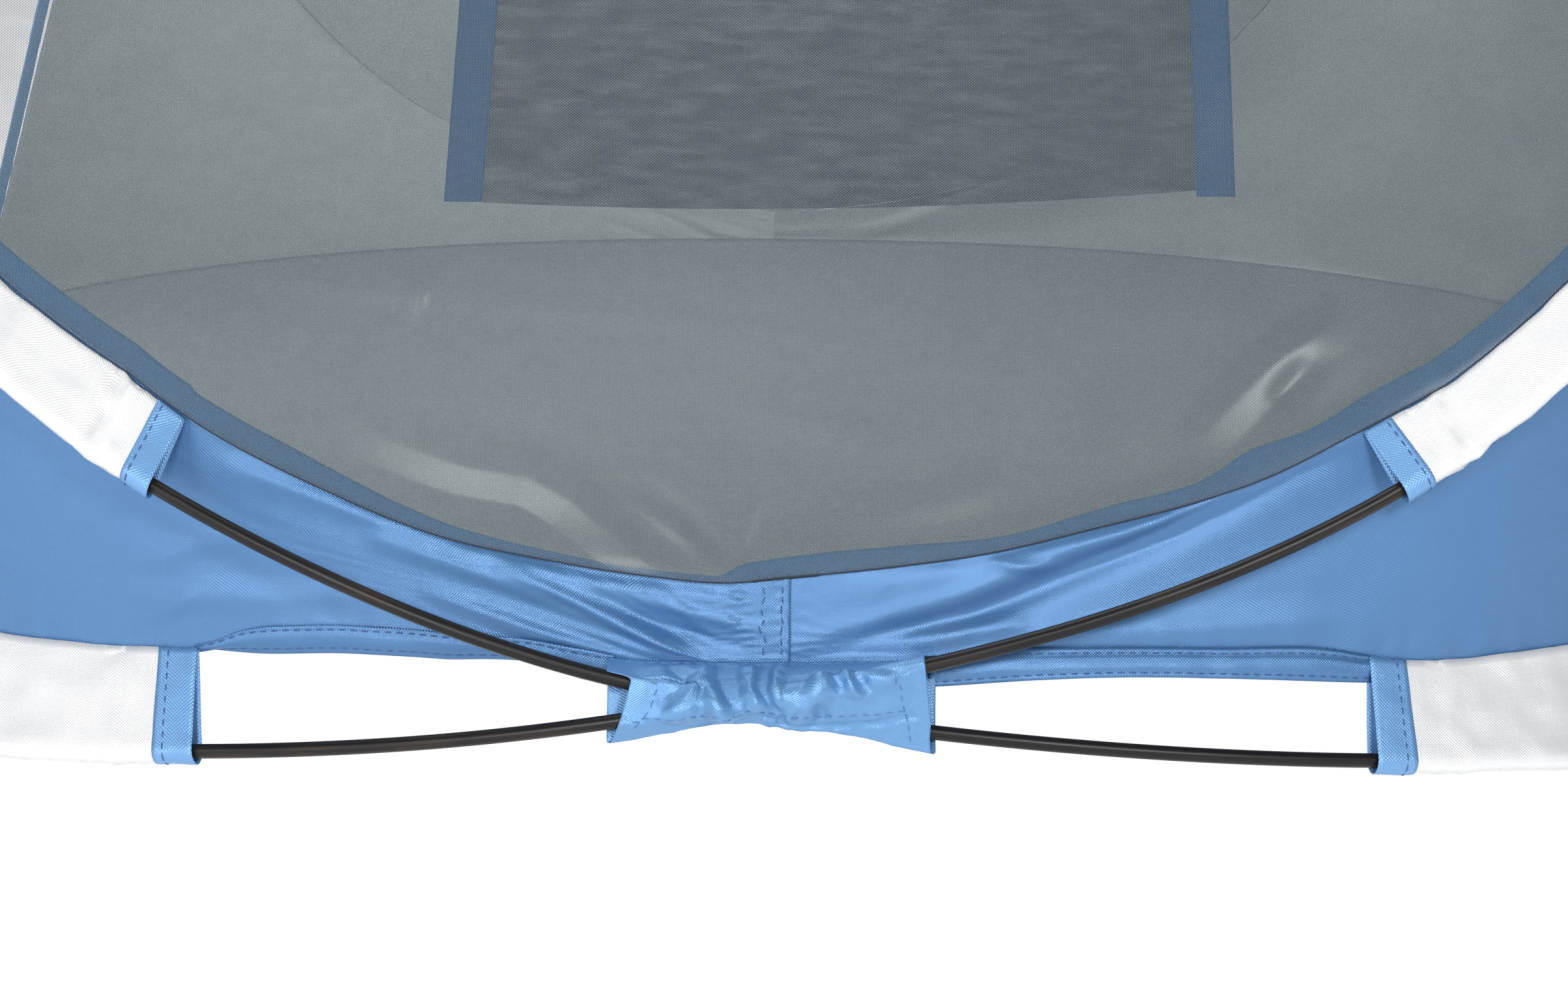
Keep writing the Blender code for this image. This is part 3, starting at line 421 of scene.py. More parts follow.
def upper_seam_curve():
    """Seam under the roof rib: flat in the leaning end plane, then over to the ridge."""
    low = bezier(
        on_end_plane(0.0, SEAM_FOOT_HEIGHT),
        on_end_plane(SEAM_FOOT_REACH, SEAM_FOOT_HEIGHT),
        on_end_plane(BELLY_HALF_WIDTH, SEAM_FOOT_HEIGHT + SEAM_FOOT_RISE),
        on_end_plane(BELLY_HALF_WIDTH, BELLY_HEIGHT),
    )
    rise = END_TOP_HEIGHT - BELLY_HEIGHT
    high = bezier(
        on_end_plane(BELLY_HALF_WIDTH, BELLY_HEIGHT),
        on_end_plane(BELLY_HALF_WIDTH, BELLY_HEIGHT + 0.34 * rise),
        on_end_plane(END_TOP_HALF_WIDTH + 0.025, END_TOP_HEIGHT - 0.3 * rise),
        on_end_plane(END_TOP_HALF_WIDTH, END_TOP_HEIGHT),
    )
    leave = np.array([-0.417, math.tan(END_LEAN), 1.0])
    top = np.array(on_end_plane(END_TOP_HALF_WIDTH, END_TOP_HEIGHT))
    over = bezier(
        top,
        top + 0.56 * (RIDGE_HEIGHT - END_TOP_HEIGHT) * leave,
        (RIDGE_HALF_WIDTH, 0.44 * top[1], RIDGE_HEIGHT),
        (RIDGE_HALF_WIDTH, 0.0, RIDGE_HEIGHT),
    )
    return joined([low, high, over])


def rib_curves():
    """Roof rib of the hoop: the bare stretch by the crossing, then the stretch in its sleeve."""
    start = np.array([0.0, -HALF_LENGTH, CROSSING_HEIGHT])
    entry = np.array([RIB_ENTRY[0], -HALF_LENGTH + RIB_ENTRY[1], RIB_ENTRY[2]])
    entry_way = np.array(RIB_ENTRY_WAY)
    third = entry[0] / 3
    bare = bezier(
        start,
        start + third * np.array([1.0, 0.0, CROSSING_SLOPE]),
        entry - third * entry_way,
        entry,
    )
    lean = np.array([0.0, math.tan(END_LEAN), 1.0])
    belly = np.array(on_end_plane(BELLY_HALF_WIDTH, BELLY_HEIGHT))
    belly = belly + RIB_BELLY_OUT * np.array([1.0, -0.55, 0.0])
    ridge = np.array([RIDGE_HALF_WIDTH + RIB_RIDGE_OUT, 0.0, RIDGE_HEIGHT + RIB_RIDGE_UP])
    rise = ridge[2] - belly[2]
    climb = bezier(entry, entry + 0.110 * entry_way, belly - 0.160 * lean, belly)
    over = bezier(
        belly,
        belly + 0.485 * rise * lean,
        (ridge[0], 0.515 * belly[1], ridge[2]),
        ridge,
    )
    return bare, joined([climb, over])


def floor_curve():
    """The hoop's floor half: a rounded oval in plan, falling from the crossing to the ground."""
    turn = np.linspace(0.0, math.pi / 2, 6 * DENSE)
    power = 2.0 / FLOOR_SQUARENESS
    x = FLOOR_HALF_WIDTH * np.sin(turn) ** power
    y = -HALF_LENGTH * np.cos(turn) ** power
    s = lengths(np.stack([x, y, 0 * x], axis=1))
    ground = SLEEVE_RADIUS
    last = math.exp(-s[-1] / GROUND_FALL)
    fall = (np.exp(-s / GROUND_FALL) - last) / (1 - last)
    return np.stack([x, y, ground + (CROSSING_HEIGHT - ground) * fall], axis=1)


def lower_seam_curve(floor):
    """Seam inside and above the hoop's floor half."""
    s = lengths(floor)
    share = 0.5 - 0.5 * np.cos(math.pi * s / s[-1])
    inset = HEM_INSET_END + (HEM_INSET_SIDE - HEM_INSET_END) * share
    height = HEM_HEIGHT_END + (HEM_HEIGHT_SIDE - HEM_HEIGHT_END) * share
    way = unit(np.gradient(floor[:, :2], axis=0))
    inward = np.stack([-way[:, 1], way[:, 0]], axis=1)
    plan = floor[:, :2] + inset[:, None] * inward
    plan[0, 0] = 0.0
    plan[-1, 1] = 0.0
    return np.column_stack([plan, height])


UPPER = upper_seam_curve()
BARE_RIB, SLEEVED_RIB = rib_curves()
RIB = joined([BARE_RIB, SLEEVED_RIB])
FLOOR = floor_curve()
LOWER = lower_seam_curve(FLOOR)
LOW_UPPER = UPPER[:DENSE]
NEAR_FLOOR = 5 * DENSE


def place_of_x(curve, x):
    """Distance along a curve at which it reaches this x, on its way out from the end's middle."""
    return np.interp(x, curve[:, 0], lengths(curve))


UPPER_START = place_of_x(LOW_UPPER, TAPE_START)
UPPER_LENGTH = lengths(UPPER)[-1]
UPPER_TOP = lengths(UPPER[: 2 * DENSE - 1])[-1]
LOWER_START = place_of_x(LOWER[:NEAR_FLOOR], TAPE_START)
LOWER_LENGTH = lengths(LOWER)[-1]
FLOOR_LENGTH = lengths(FLOOR)[-1]
BARE_LENGTH = lengths(BARE_RIB)[-1]
RIB_LENGTH = lengths(RIB)[-1]


def stray(x, places, line, edge, lap=0.0):
    """How far a sewn edge at the photographed end strays in height from the even curve."""
    reach = edge[-1][0]
    inside = np.clip(x, edge[0][0], reach)
    even = np.interp(abs(inside), line[:, 0], line[:, 2])
    fade = bell(np.maximum(places - reach, 0.0), STRAY_FADE)
    return (through(inside, edge) + lap - even) * fade


def upper_line(places, x, y):
    """The upper seam of one quarter at these distances along it."""
    line = mirrored(pick(UPPER, places), x, y)
    if y > 0:
        rise = stray(line[:, 0], places, LOW_UPPER, NET_EDGE, NET_LAP)
        line[:, 2] += rise
        line[:, 1] += rise * math.tan(END_LEAN)
    return line


def lower_line(places, x, y):
    """The lower seam of one quarter at these distances along it."""
    line = mirrored(pick(LOWER, places), x, y)
    if y > 0:
        line[:, 2] += stray(line[:, 0], places, LOWER[:NEAR_FLOOR], WALL_FOOT)
    return line


def lapped(line_at, places, x, y):
    """A seam's points. Places below zero lie past the end's middle, on the other side."""
    own, other = line_at(np.abs(places), x, y), line_at(np.abs(places), -x, y)
    return np.where((places < 0)[:, None], other, own)


def under(places):
    """Places along the lower seam that lie under these places along the upper seam."""
    xs = np.interp(places, lengths(LOW_UPPER), LOW_UPPER[:, 0])
    bare = place_of_x(LOWER[:NEAR_FLOOR], np.minimum(xs, TAPE_START))
    share = np.clip((places - UPPER_START) / (UPPER_LENGTH - UPPER_START), 0.0, 1.0)
    return np.where(places < UPPER_START, bare, LOWER_START + share * (LOWER_LENGTH - LOWER_START))


def stations(first, last, near=NEAR_STEP, far=FAR_STEP):
    """Places along a seam: close together near the end's middle, wider beyond."""
    if first >= NEAR_REACH:
        return np.linspace(first, last, max(2, round((last - first) / far)) + 1)
    edge = min(last, NEAR_REACH)
    fine = np.linspace(first, edge, max(2, round((edge - first) / near)) + 1)
    if last <= edge:
        return fine
    return np.concatenate([fine, np.linspace(edge, last, max(2, round((last - edge) / far)) + 1)[1:]])


def mouth_place():
    """Place along the upper seam at which the front wall stops and the mouth starts."""
    places = np.linspace(UPPER_START, UPPER_LENGTH, 2000)
    return float(np.interp(-MOUTH_HALF_WIDTH, pick(LOWER, under(places))[:, 1], places))


MOUTH = mouth_place()


def rumple(points, size, seed):
    """Soft noise from -1 to 1 over points, with bumps about this size."""
    flat = np.asarray(points).reshape(-1, 3) / np.asarray(size) + seed
    return np.array([noise.noise(p) for p in flat]).reshape(np.asarray(points).shape[:-1])


def crease(x, z, line, width, height, sharp=False):
    """Height over (x, z) of one fold along a line of points, fading at both of its ends."""
    line = np.array(line)
    steps = np.diff(line, axis=0)
    reach = np.concatenate([[0.0], np.cumsum(np.hypot(steps[:, 0], steps[:, 1]))])
    near = np.full(x.shape, np.inf)
    place = np.zeros(x.shape)
    for (ax, az), (sx, sz), start, end in zip(line, steps, reach, reach[1:]):
        t = np.clip(((x - ax) * sx + (z - az) * sz) / (sx * sx + sz * sz), 0.0, 1.0)
        away = np.hypot(x - ax - t * sx, z - az - t * sz)
        closer = away < near
        near = np.where(closer, away, near)
        place = np.where(closer, start + t * (end - start), place)
    fade = np.sqrt(np.sin(math.pi * (0.04 + 0.92 * place / reach[-1])))
    if sharp:
        return height * fade * np.maximum(0.0, 1.08 - np.hypot(near, 0.08 * width) / width)
    return height * fade * bell(near, width)


class Cloth:
    """A grid of points through a piece of cloth.

    A ring faces away from its own middle, other cloth away from the cabin's, unless facing is given.
    """

    def __init__(self, grid, ring=False, facing=None):
        self.grid = np.array(grid, float)
        self.ring = ring
        self.cut = None
        middle = self.grid.mean(axis=1, keepdims=True) if ring else np.array(CABIN_MIDDLE)
        outward = self.grid - middle if facing is None else np.broadcast_to(facing, self.grid.shape)
        if (self.outward() * outward).sum() < 0:
            self.grid = self.grid[:, ::-1]

    def outward(self):
        if self.ring:
            wide = np.concatenate([self.grid[:, -1:], self.grid, self.grid[:, :1]], axis=1)
            across = (wide[:, 2:] - wide[:, :-2]) / 2
        else:
            across = np.gradient(self.grid, axis=1)
        return unit(np.cross(across, np.gradient(self.grid, axis=0)))

    def push(self, heights):
        """Moves every point outward by its own height. The cut is measured before the first time."""
        self.cut = self.cut or self.measured()
        self.grid = self.grid + self.outward() * np.asarray(heights)[..., None]

    def waves(self, *layers):
        """Soft noise over the cloth. A layer gives its height, the size of its bumps and its seed."""
        return sum(height * rumple(self.grid, size, seed) for height, size, seed in layers)

    def edge_distance(self):
        """Distance of every point from the first and last column, the nearer one."""
        first = np.linalg.norm(self.grid - self.grid[:, :1], axis=2)
        last = np.linalg.norm(self.grid - self.grid[:, -1:], axis=2)
        return np.minimum(first, last)

    def closed(self):
        """The grid, with a ring's first column once more as its last."""
        return np.concatenate([self.grid, self.grid[:, :1]], axis=1) if self.ring else self.grid

    def measured(self):
        """Width, length and area of the flat cut that this piece needs."""
        wide = self.closed()
        width = np.quantile(np.linalg.norm(np.diff(wide, axis=1), axis=2).sum(axis=1), 0.9)
        length = np.linalg.norm(np.diff(wide, axis=0), axis=2).sum(axis=0).mean()
        a, b = wide[1:, :-1] - wide[:-1, :-1], wide[:-1, 1:] - wide[:-1, :-1]
        area = np.linalg.norm(np.cross(a, b), axis=2).sum()
        width, length = max(width, LEAST_CUT), max(length, LEAST_CUT)
        least, most = 0.301 * width * length, 0.999 * width * length
        return (float(width), float(length)), float(np.clip(area, least, most))

    def line(self, share, axis):
        """The line at this share of the rows (axis 0) or columns (axis 1), and the outward direction."""
        grid, ways = np.moveaxis(self.grid, axis, 0), np.moveaxis(self.outward(), axis, 0)
        at = share * (len(grid) - 1)
        k = int(at)
        return grid[k] + (at - k) * (grid[k + 1] - grid[k]), ways[k]

    def seat(self, line):
        """A line laid on the cloth: its points, and the outward direction at each."""
        points, ways = self.grid.reshape(-1, 3), self.outward().reshape(-1, 3)
        tree = kdtree.KDTree(len(points))
        for k, p in enumerate(points):
            tree.insert(p, k)
        tree.balance()
        placed, facing = [], []
        for p in line:
            found = tree.find_n(p, 4)
            share = np.array([1.0 / (d + 1e-5) for _, _, d in found])
            share /= share.sum()
            index = [k for _, k, _ in found]
            way = unit((ways[index] * share[:, None]).sum(axis=0))
            placed.append((points[index] * share[:, None]).sum(axis=0))
            facing.append(way)
        return np.array(placed), np.array(facing)


def add_mesh(name, points, faces, finish):
    """A smooth mesh of one finish, in the scene."""
    mesh = bpy.data.meshes.new(name)
    mesh.from_pydata(np.reshape(points, (-1, 3)).tolist(), [], faces)
    mesh.materials.append(finish)
    mesh.shade_smooth()
    obj = bpy.data.objects.new(name, mesh)
    bpy.context.scene.collection.objects.link(obj)
    return obj


def mesh_piece(name, cloth, finish, uv=None, lining=None, thickness=CLOTH):
    """A mesh through a cloth's grid, with its own distances in metres as its map."""
    wide = cloth.closed()
    n, m = cloth.grid.shape[:2]
    index = np.arange(n * m).reshape(n, m)
    if cloth.ring:
        index = np.concatenate([index, index[:, :1]], axis=1)
    corners = [(slice(None, -1), slice(None, -1)), (slice(None, -1), slice(1, None)),
               (slice(1, None), slice(1, None)), (slice(1, None), slice(None, -1))]
    quads = np.stack([index[c] for c in corners], axis=-1).reshape(-1, 4)
    obj = add_mesh(name, cloth.grid, quads.tolist(), finish)
    if uv is None:
        along = np.linalg.norm(np.diff(wide, axis=0), axis=2)
        across = np.linalg.norm(np.diff(wide, axis=1), axis=2)
        u = np.concatenate([np.zeros((1, wide.shape[1])), np.cumsum(along, axis=0)])
        v = np.concatenate([np.zeros((n, 1)), np.cumsum(across, axis=1)], axis=1)
        uv = np.stack([u, v], axis=-1)
    layer = obj.data.uv_layers.new(name="cloth")
    layer.data.foreach_set("uv", np.stack([uv[c] for c in corners], axis=2).reshape(-1))
    if thickness:
        solid = obj.modifiers.new("thickness", "SOLIDIFY")
        solid.thickness = thickness
        solid.offset = -1.0
        if lining:
            obj.data.materials.append(lining)
            solid.material_offset = 1
    return obj


def dress(obj, nodes=(), body=ROOT):
    """Puts a piece on its body and hides the frame's parts that it stands for."""
    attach(obj, body)
    if nodes:
        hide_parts(*nodes)


def sheet(name, cloth, finish, slot, nodes, held, rests_on, cut=None, body=ROOT, **options):
    """A piece of cloth in its place, put on its body."""
    obj = mesh_piece(name, cloth, finish, **options)
    dress(obj, nodes, body)
    return obj


def tube(name, points, radius, finish, sides=20):
    """A round rod along a line, mapped by its length and its turn."""
    ways = unit(np.gradient(points, axis=0))
    across = unit(np.cross(ways[0], [0.0, 0.0, 1.0]))
    turns = np.arange(sides) * 2 * math.pi / sides
    rows = []
    for p, way in zip(points, ways):
        across = unit(across - way * np.dot(across, way))
        up = np.cross(way, across)
        rows.append(p + radius * (np.cos(turns)[:, None] * across + np.sin(turns)[:, None] * up))
    tips = ((points[0], rows[0]), (points[-1], rows[-1]))
    first, last = (tip + 0.02 * (ring - tip) for tip, ring in tips)
    return mesh_piece(name, Cloth([first, *rows, last], ring=True), finish, thickness=0.0)


def stitches(name, rows, thread):
    """Rows of machine stitches. A row is a line of points and the cloth's outward direction at each."""
    template, faces = [], []
    for r, (place, share) in enumerate(STITCH_RINGS):
        for k in range(STITCH_SIDES):
            turn = 2 * math.pi * k / STITCH_SIDES
            sink = 1.5 * place * place
            template.append((0.5 * STITCH_LENGTH * place, share * STITCH_RADIUS * math.cos(turn),
                             STITCH_RADIUS * (share * math.sin(turn) - sink + 0.35)))
            if r:
                own, after = r * STITCH_SIDES, (k + 1) % STITCH_SIDES
                faces.append((own - STITCH_SIDES + k, own - STITCH_SIDES + after, own + after, own + k))
    template = np.array(template)
    verts, quads = [], []
    for points, facing in rows:
        s = lengths(points)
        count = max(1, int(s[-1] / STITCH_PITCH))
        middles = (np.arange(count) + 0.5) * s[-1] / count
        before, centre, after = (pick(points, middles + k * STITCH_PITCH) for k in (-0.4, 0.0, 0.4))
        out = unit(pick(points, middles, facing))
        along = unit(after - before)
        side = unit(np.cross(out, along))
        up = np.cross(along, side)
        for c, a, b, d in zip(centre, along, side, up):
            quads += [tuple(len(verts) * len(template) + k for k in face) for face in faces]
            verts.append(c + template[:, :1] * a + template[:, 1:2] * b + template[:, 2:] * d)
    dress(add_mesh(name, np.concatenate(verts), quads, thread))


# Finishes


class Value:
    """A number in a shader's nodes, with Python's own arithmetic."""

    def __init__(self, finish, socket):
        self.finish = finish
        self.socket = socket

    def math(self, operation, first, second=None):
        inputs = {0: first} if second is None else {0: first, 1: second}
        return self.finish.node("ShaderNodeMath", {"operation": operation}, inputs)

    def __add__(self, other):
        return self.math("ADD", self, other)

    __radd__ = __add__

    def __sub__(self, other):
        return self.math("SUBTRACT", self, other)

    def __rsub__(self, other):
        return self.math("SUBTRACT", other, self)

    def __mul__(self, other):
        return self.math("MULTIPLY", self, other)

    def sine(self):
        return self.math("SINE", self)

    def at_least(self, other):
        return self.math("MAXIMUM", self, other)

    def clamped(self):
        return self.math("MINIMUM", self, 1.0).at_least(0.0)


class Finish:
    """A material made of one Principled shader and the nodes that feed it."""

    def __init__(self, name, **fixed):
        self.material = bpy.data.materials.new(name)
        self.material.use_nodes = True
        self.tree = self.material.node_tree
        self.shader = self.tree.nodes["Principled BSDF"]
        for socket, value in fixed.items():
            socket = socket.replace("_", " ").title().replace("Ior", "IOR")
            self.shader.inputs[socket].default_value = value

    def node(self, kind, settings=None, inputs=None, output=0):
        """Adds a node: its settings first, then the values or links of its sockets."""
        node = self.tree.nodes.new(kind)
        for key, value in (settings or {}).items():
            setattr(node, key, value)
        for key, value in (inputs or {}).items():
            self.feed(node.inputs[key], value)
        return Value(self, node.outputs[output])

    def feed(self, socket, value):
        if isinstance(value, Value):
            self.tree.links.new(value.socket, socket)
        else:
            socket.default_value = value

    def set(self, socket, value):
        self.feed(self.shader.inputs[socket], value)

    def mix(self, first, second, share):
        """One colour turning into another."""
        return self.node("ShaderNodeMix", {"data_type": "RGBA"}, {0: share, 6: first, 7: second}, 2)

    def place(self):
        """Where a point is, in metres."""
        return self.node("ShaderNodeTexCoord", output=3)

    def along_and_across(self):
        """How far a point is along and across its cloth, in metres."""
        cloth = self.node("ShaderNodeUVMap", {"uv_map": "cloth"})
        apart = self.node("ShaderNodeSeparateXYZ", None, {0: cloth})
        return apart, Value(self, apart.socket.node.outputs[1])

    def blotches(self, size, where=None, detail=2.0, stretch=(1.0, 1.0, 1.0)):
        """Soft noise from 0 to 1, with blotches about this size in metres."""
        scale = tuple(1.0 / (size * s) for s in stretch)
        where = where or self.place()
        spread = self.node("ShaderNodeVectorMath", {"operation": "MULTIPLY"}, {0: where, 1: scale})
        return self.node("ShaderNodeTexNoise", None, {"Vector": spread, "Scale": 1.0, "Detail": detail})

    def bump(self, height, distance):
        relief = {"Height": height, "Distance": distance, "Strength": 1.0}
        self.set("Normal", self.node("ShaderNodeBump", None, relief))


def grey(level):
    """A colour with equal red, green and blue."""
    return (level, level, level, 1.0)


# Plain weaves, as the pitch of their yarns and their relief, and the net's wale and course
TAFFETA = (0.00055, 0.00010)
RIBBON = (0.00070, 0.00014)
COATED = (0.00060, 0.00012)
LINED = (0.00060, 0.00008)
CANVAS = (0.00090, 0.00018)
WALE = 0.00062
COURSE = 0.00105


def woven(name, light, dark, roughness, weave, **fixed):
    """A plain-weave cloth: fine checks of warp and weft, faint streaks along the yarns."""
    pitch, relief = weave
    made = Finish(name, roughness=roughness, **fixed)
    u, v = made.along_and_across()
    check = (u * (math.pi / pitch)).sine() * (v * (math.pi / pitch)).sine()
    flat = made.node("ShaderNodeUVMap", {"uv_map": "cloth"})
    streaks = made.blotches(0.004, flat, 3.0, (12.0, 0.35, 1.0))
    cross = made.blotches(0.004, flat, 3.0, (0.35, 12.0, 1.0))
    cloudy = made.blotches(0.09, None, 3.0)
    tone = ((streaks + cross - 1.0) * 0.25 + (cloudy - 0.5) * 0.5 + 0.5 + check * 0.06).clamped()
    made.set("Base Color", made.mix(dark, light, tone))
    made.set("Roughness", cloudy * 0.12 + (roughness - 0.06) + streaks * 0.06)
    fine = made.blotches(0.0022, None, 2.0)
    made.bump(check * 0.5 + (streaks + cross) * 0.35 + fine * 0.5, relief)
    return made.material


def netting(name, thread, opening, roughness, shine, streaky, hem=0.0, **fixed):
    """A knitted net: staggered rows of small holes, shining threads, a dark hem this many mm wide that is
    also a painted shadow line.
    """
    made = Finish(name, roughness=roughness, specular_ior_level=shine, **fixed)
    u, v = made.along_and_across()
    across = (u * (math.pi / WALE)).sine()
    up = (v * (2 * math.pi / COURSE)).sine()
    holes = across * up
    uneven = made.blotches(0.006, None, 2.0)
    soft = made.blotches(0.05, None, 2.0)
    streaks = made.blotches(0.0040, None, 2.0, (4.0, 1.0, 1.0))
    open_share = opening + (uneven - 0.5) * 0.10 + (soft - 0.5) * 0.08 + (streaks - 0.5) * streaky
    ribs = (u * (2 * math.pi / COURSE)).sine() * soft
    alpha = (1.0 - open_share - (holes * 0.34) + ribs * 0.12).clamped()
    lighter = tuple(min(1.0, 1.7 * c) for c in thread[:3]) + (1.0,)
    yarn = made.mix(thread, lighter, (holes * -0.4 + uneven * 0.6 + 0.1).clamped())
    if hem:
        from_edge = made.node("ShaderNodeAttribute", {"attribute_name": "from_edge"}, output=2)
        # The hem's dark rim is partly the net's own dark border and partly a painted shadow line where
        # the net's edge shades the wall
        rim = (hem + 0.5 - from_edge).clamped()
        alpha = alpha.at_least(rim * 0.97)
        yarn = made.mix(yarn, NET_HEM_AND_SHADOW_BLUE, rim * 0.95)
        made.set("Coat Weight", (1.0 - rim) * 0.8)
        made.set("Roughness", rim * 0.45 + roughness)
    made.set("Alpha", alpha)
    made.set("Base Color", yarn)
    made.bump(holes * -0.5 + uneven * 0.4, 0.0002)
    return made.material


def fibreglass():
    """Black pultruded rod: long brown streaks where the fibres show, a clear skin over them."""
    made = Finish("black_fibreglass", roughness=0.36, specular_ior_level=0.32)
    u, v = made.along_and_across()
    turn = made.node("ShaderNodeCombineXYZ", None, {0: u * 28.0, 1: v * 900.0, 2: 0.0})
    fibres = made.node("ShaderNodeTexNoise", None, {"Vector": turn, "Scale": 1.0, "Detail": 4.0})
    patches = made.node("ShaderNodeCombineXYZ", None, {0: u * 14.0, 1: v * 90.0, 2: 3.0})
    worn = made.node("ShaderNodeTexNoise", None, {"Vector": patches, "Scale": 1.0, "Detail": 3.0})
    brown = ((worn - 0.46) * 5.0).clamped() * ((fibres - 0.36) * 3.4).clamped()
    made.set("Base Color", made.mix((0.0070, 0.0068, 0.0078, 1.0), (0.042, 0.027, 0.019, 1.0), brown))
    made.set("Roughness", 0.30 + fibres * 0.14)
    made.bump(fibres, 0.00004)
    return made.material


def plain_rod():
    """The same rod where the sleeves hide it."""
    made = Finish("hidden_fibreglass", roughness=0.36)
    streaks = made.blotches(0.004, None, 3.0)
    brown = ((streaks - 0.45) * 3.0).clamped()
    made.set("Base Color", made.mix((0.009, 0.009, 0.010, 1.0), (0.06, 0.038, 0.024, 1.0), brown))
    made.bump(streaks, 0.0001)
    return made.material


def steel(name, light):
    made = Finish(name, metallic=1.0, roughness=0.3)
    wear = made.blotches(0.003, None, 4.0)
    made.set("Base Color", made.mix(grey(0.6 * light), grey(light), wear))
    made.set("Roughness", 0.22 + wear * 0.25)
    made.bump(wear, 0.00005)
    return made.material


def webbing():
    """Ribbed black webbing."""
    made = Finish("black_webbing", roughness=0.7)
    u, v = made.along_and_across()
    ribs = (u * (2 * math.pi / 0.0016)).sine()
    yarns = (v * (2 * math.pi / 0.0011)).sine()
    fuzz = made.blotches(0.002, None, 3.0)
    tone = (ribs * 0.25 + fuzz * 0.6 + 0.1).clamped()
    made.set("Base Color", made.mix(grey(0.018), grey(0.060), tone))
    made.bump(ribs * 0.6 + yarns * 0.3 + fuzz * 0.2, 0.0003)
    return made.material


def sewing_thread(name, dark, light):
    made = Finish(name, roughness=0.45)
    twist = made.blotches(0.0006, None, 2.0)
    made.set("Base Color", made.mix(dark, light, twist))
    made.bump(twist, 0.0001)
    return made.material


# Dark blue of the net's hem, deepened to serve as a painted shadow line under the net's edge
NET_HEM_AND_SHADOW_BLUE = (0.006, 0.014, 0.028, 1.0)
BLUE = woven("blue_taffeta", (0.082, 0.214, 0.438, 1.0), (0.059, 0.167, 0.362, 1.0),
             0.31, TAFFETA, metallic=0.42, specular_ior_level=0.8)
# The wrap's taffeta is the walls' blue taffeta painted lighter, as painted light standing in for the
# brighter light on the wrap
WRAP_BLUE_PAINTED_LIGHTER = woven("blue_wrap_taffeta_painted_lighter", (0.150, 0.340, 0.620, 1.0), (0.108, 0.264, 0.520, 1.0),
                  0.32, TAFFETA, metallic=0.42, specular_ior_level=0.8)
BAND = woven("blue_seam_allowance", (0.032, 0.196, 0.440, 1.0), (0.018, 0.138, 0.340, 1.0),
             0.50, TAFFETA)
TAPE = woven("blue_tape", (0.185, 0.395, 0.710, 1.0), (0.135, 0.315, 0.605, 1.0),
             0.36, RIBBON, metallic=0.35, specular_ior_level=0.8)
POCKET_TAPE = woven("blue_pocket_tape", (0.004, 0.112, 0.300, 1.0), (0.002, 0.080, 0.230, 1.0),
                    0.50, RIBBON)
SILVER = woven("silver_coating", (0.880, 0.885, 0.898, 1.0), (0.740, 0.746, 0.760, 1.0),
               0.30, COATED, metallic=0.28)
LINING = woven("grey_lining", (0.500, 0.545, 0.535, 1.0), (0.420, 0.465, 0.455, 1.0),
               0.60, LINED)
# The far panel's lining is the same grey lining painted lighter, as painted light making up for the light
# it gets less of
FAR_LINING_PAINTED_LIGHTER = woven("grey_panel_lining_painted_lighter", (0.610, 0.664, 0.650, 1.0), (0.520, 0.572, 0.560, 1.0),
                   0.60, LINED)
GROUND = woven("grey_ground_cloth", (0.284, 0.316, 0.320, 1.0), (0.230, 0.260, 0.265, 1.0),
               0.55, CANVAS)
NET = netting("window_netting", (0.052, 0.076, 0.094, 1.0), 0.50, 0.32, 0.6, 0.12, hem=0.9,
              coat_roughness=0.30)
POCKET = netting("pocket_netting", (0.010, 0.022, 0.031, 1.0), 0.23, 0.45, 0.5, 0.85)
FIBRE = fibreglass()
HIDDEN_FIBRE = plain_rod()
STEEL = steel("ferrule_steel", 0.62)
EYELET = steel("eyelet_steel", 0.75)
WEBBING = webbing()
# Stitch threads darker than their cloth: partly the thread's own blue, partly painted shade standing in
# for the shadow in the needle holes
THREAD = sewing_thread("blue_thread", (0.018, 0.062, 0.180, 1.0), (0.050, 0.135, 0.320, 1.0))
WRAP_THREAD = sewing_thread("light_blue_thread", (0.050, 0.150, 0.350, 1.0), (0.100, 0.245, 0.500, 1.0))


# Rods


def rod_line(rib_side, y):
    """One hoop's rod at one end: down its rib, through the crossing and out along its floor half."""
    rib = pick(RIB, np.arange(0.0, BARE_LENGTH + FERRULE_PLACE, ROD_STEP))
    floor_end = place_of_x(FLOOR[:NEAR_FLOOR], TAPE_START) + FERRULE_PLACE
    low = pick(FLOOR, np.arange(ROD_STEP, floor_end, ROD_STEP))
    moved = np.vstack([mirrored(rib[::-1], rib_side, y), mirrored(low, -rib_side, y)])
    near = bell(moved[:, 0], CROSSING_REACH)
    outward = np.sign(moved[:, 1]) * (1 if rib_side > 0 else -1)
    moved[:, 1] += outward * (ROD_RADIUS + CLEARANCE / 1.5) * near
    if y > 0:
        moved[:, 0] += CROSSING_SHIFT * bell(moved[:, 0], CROSSING_SHIFT_REACH)
    return moved


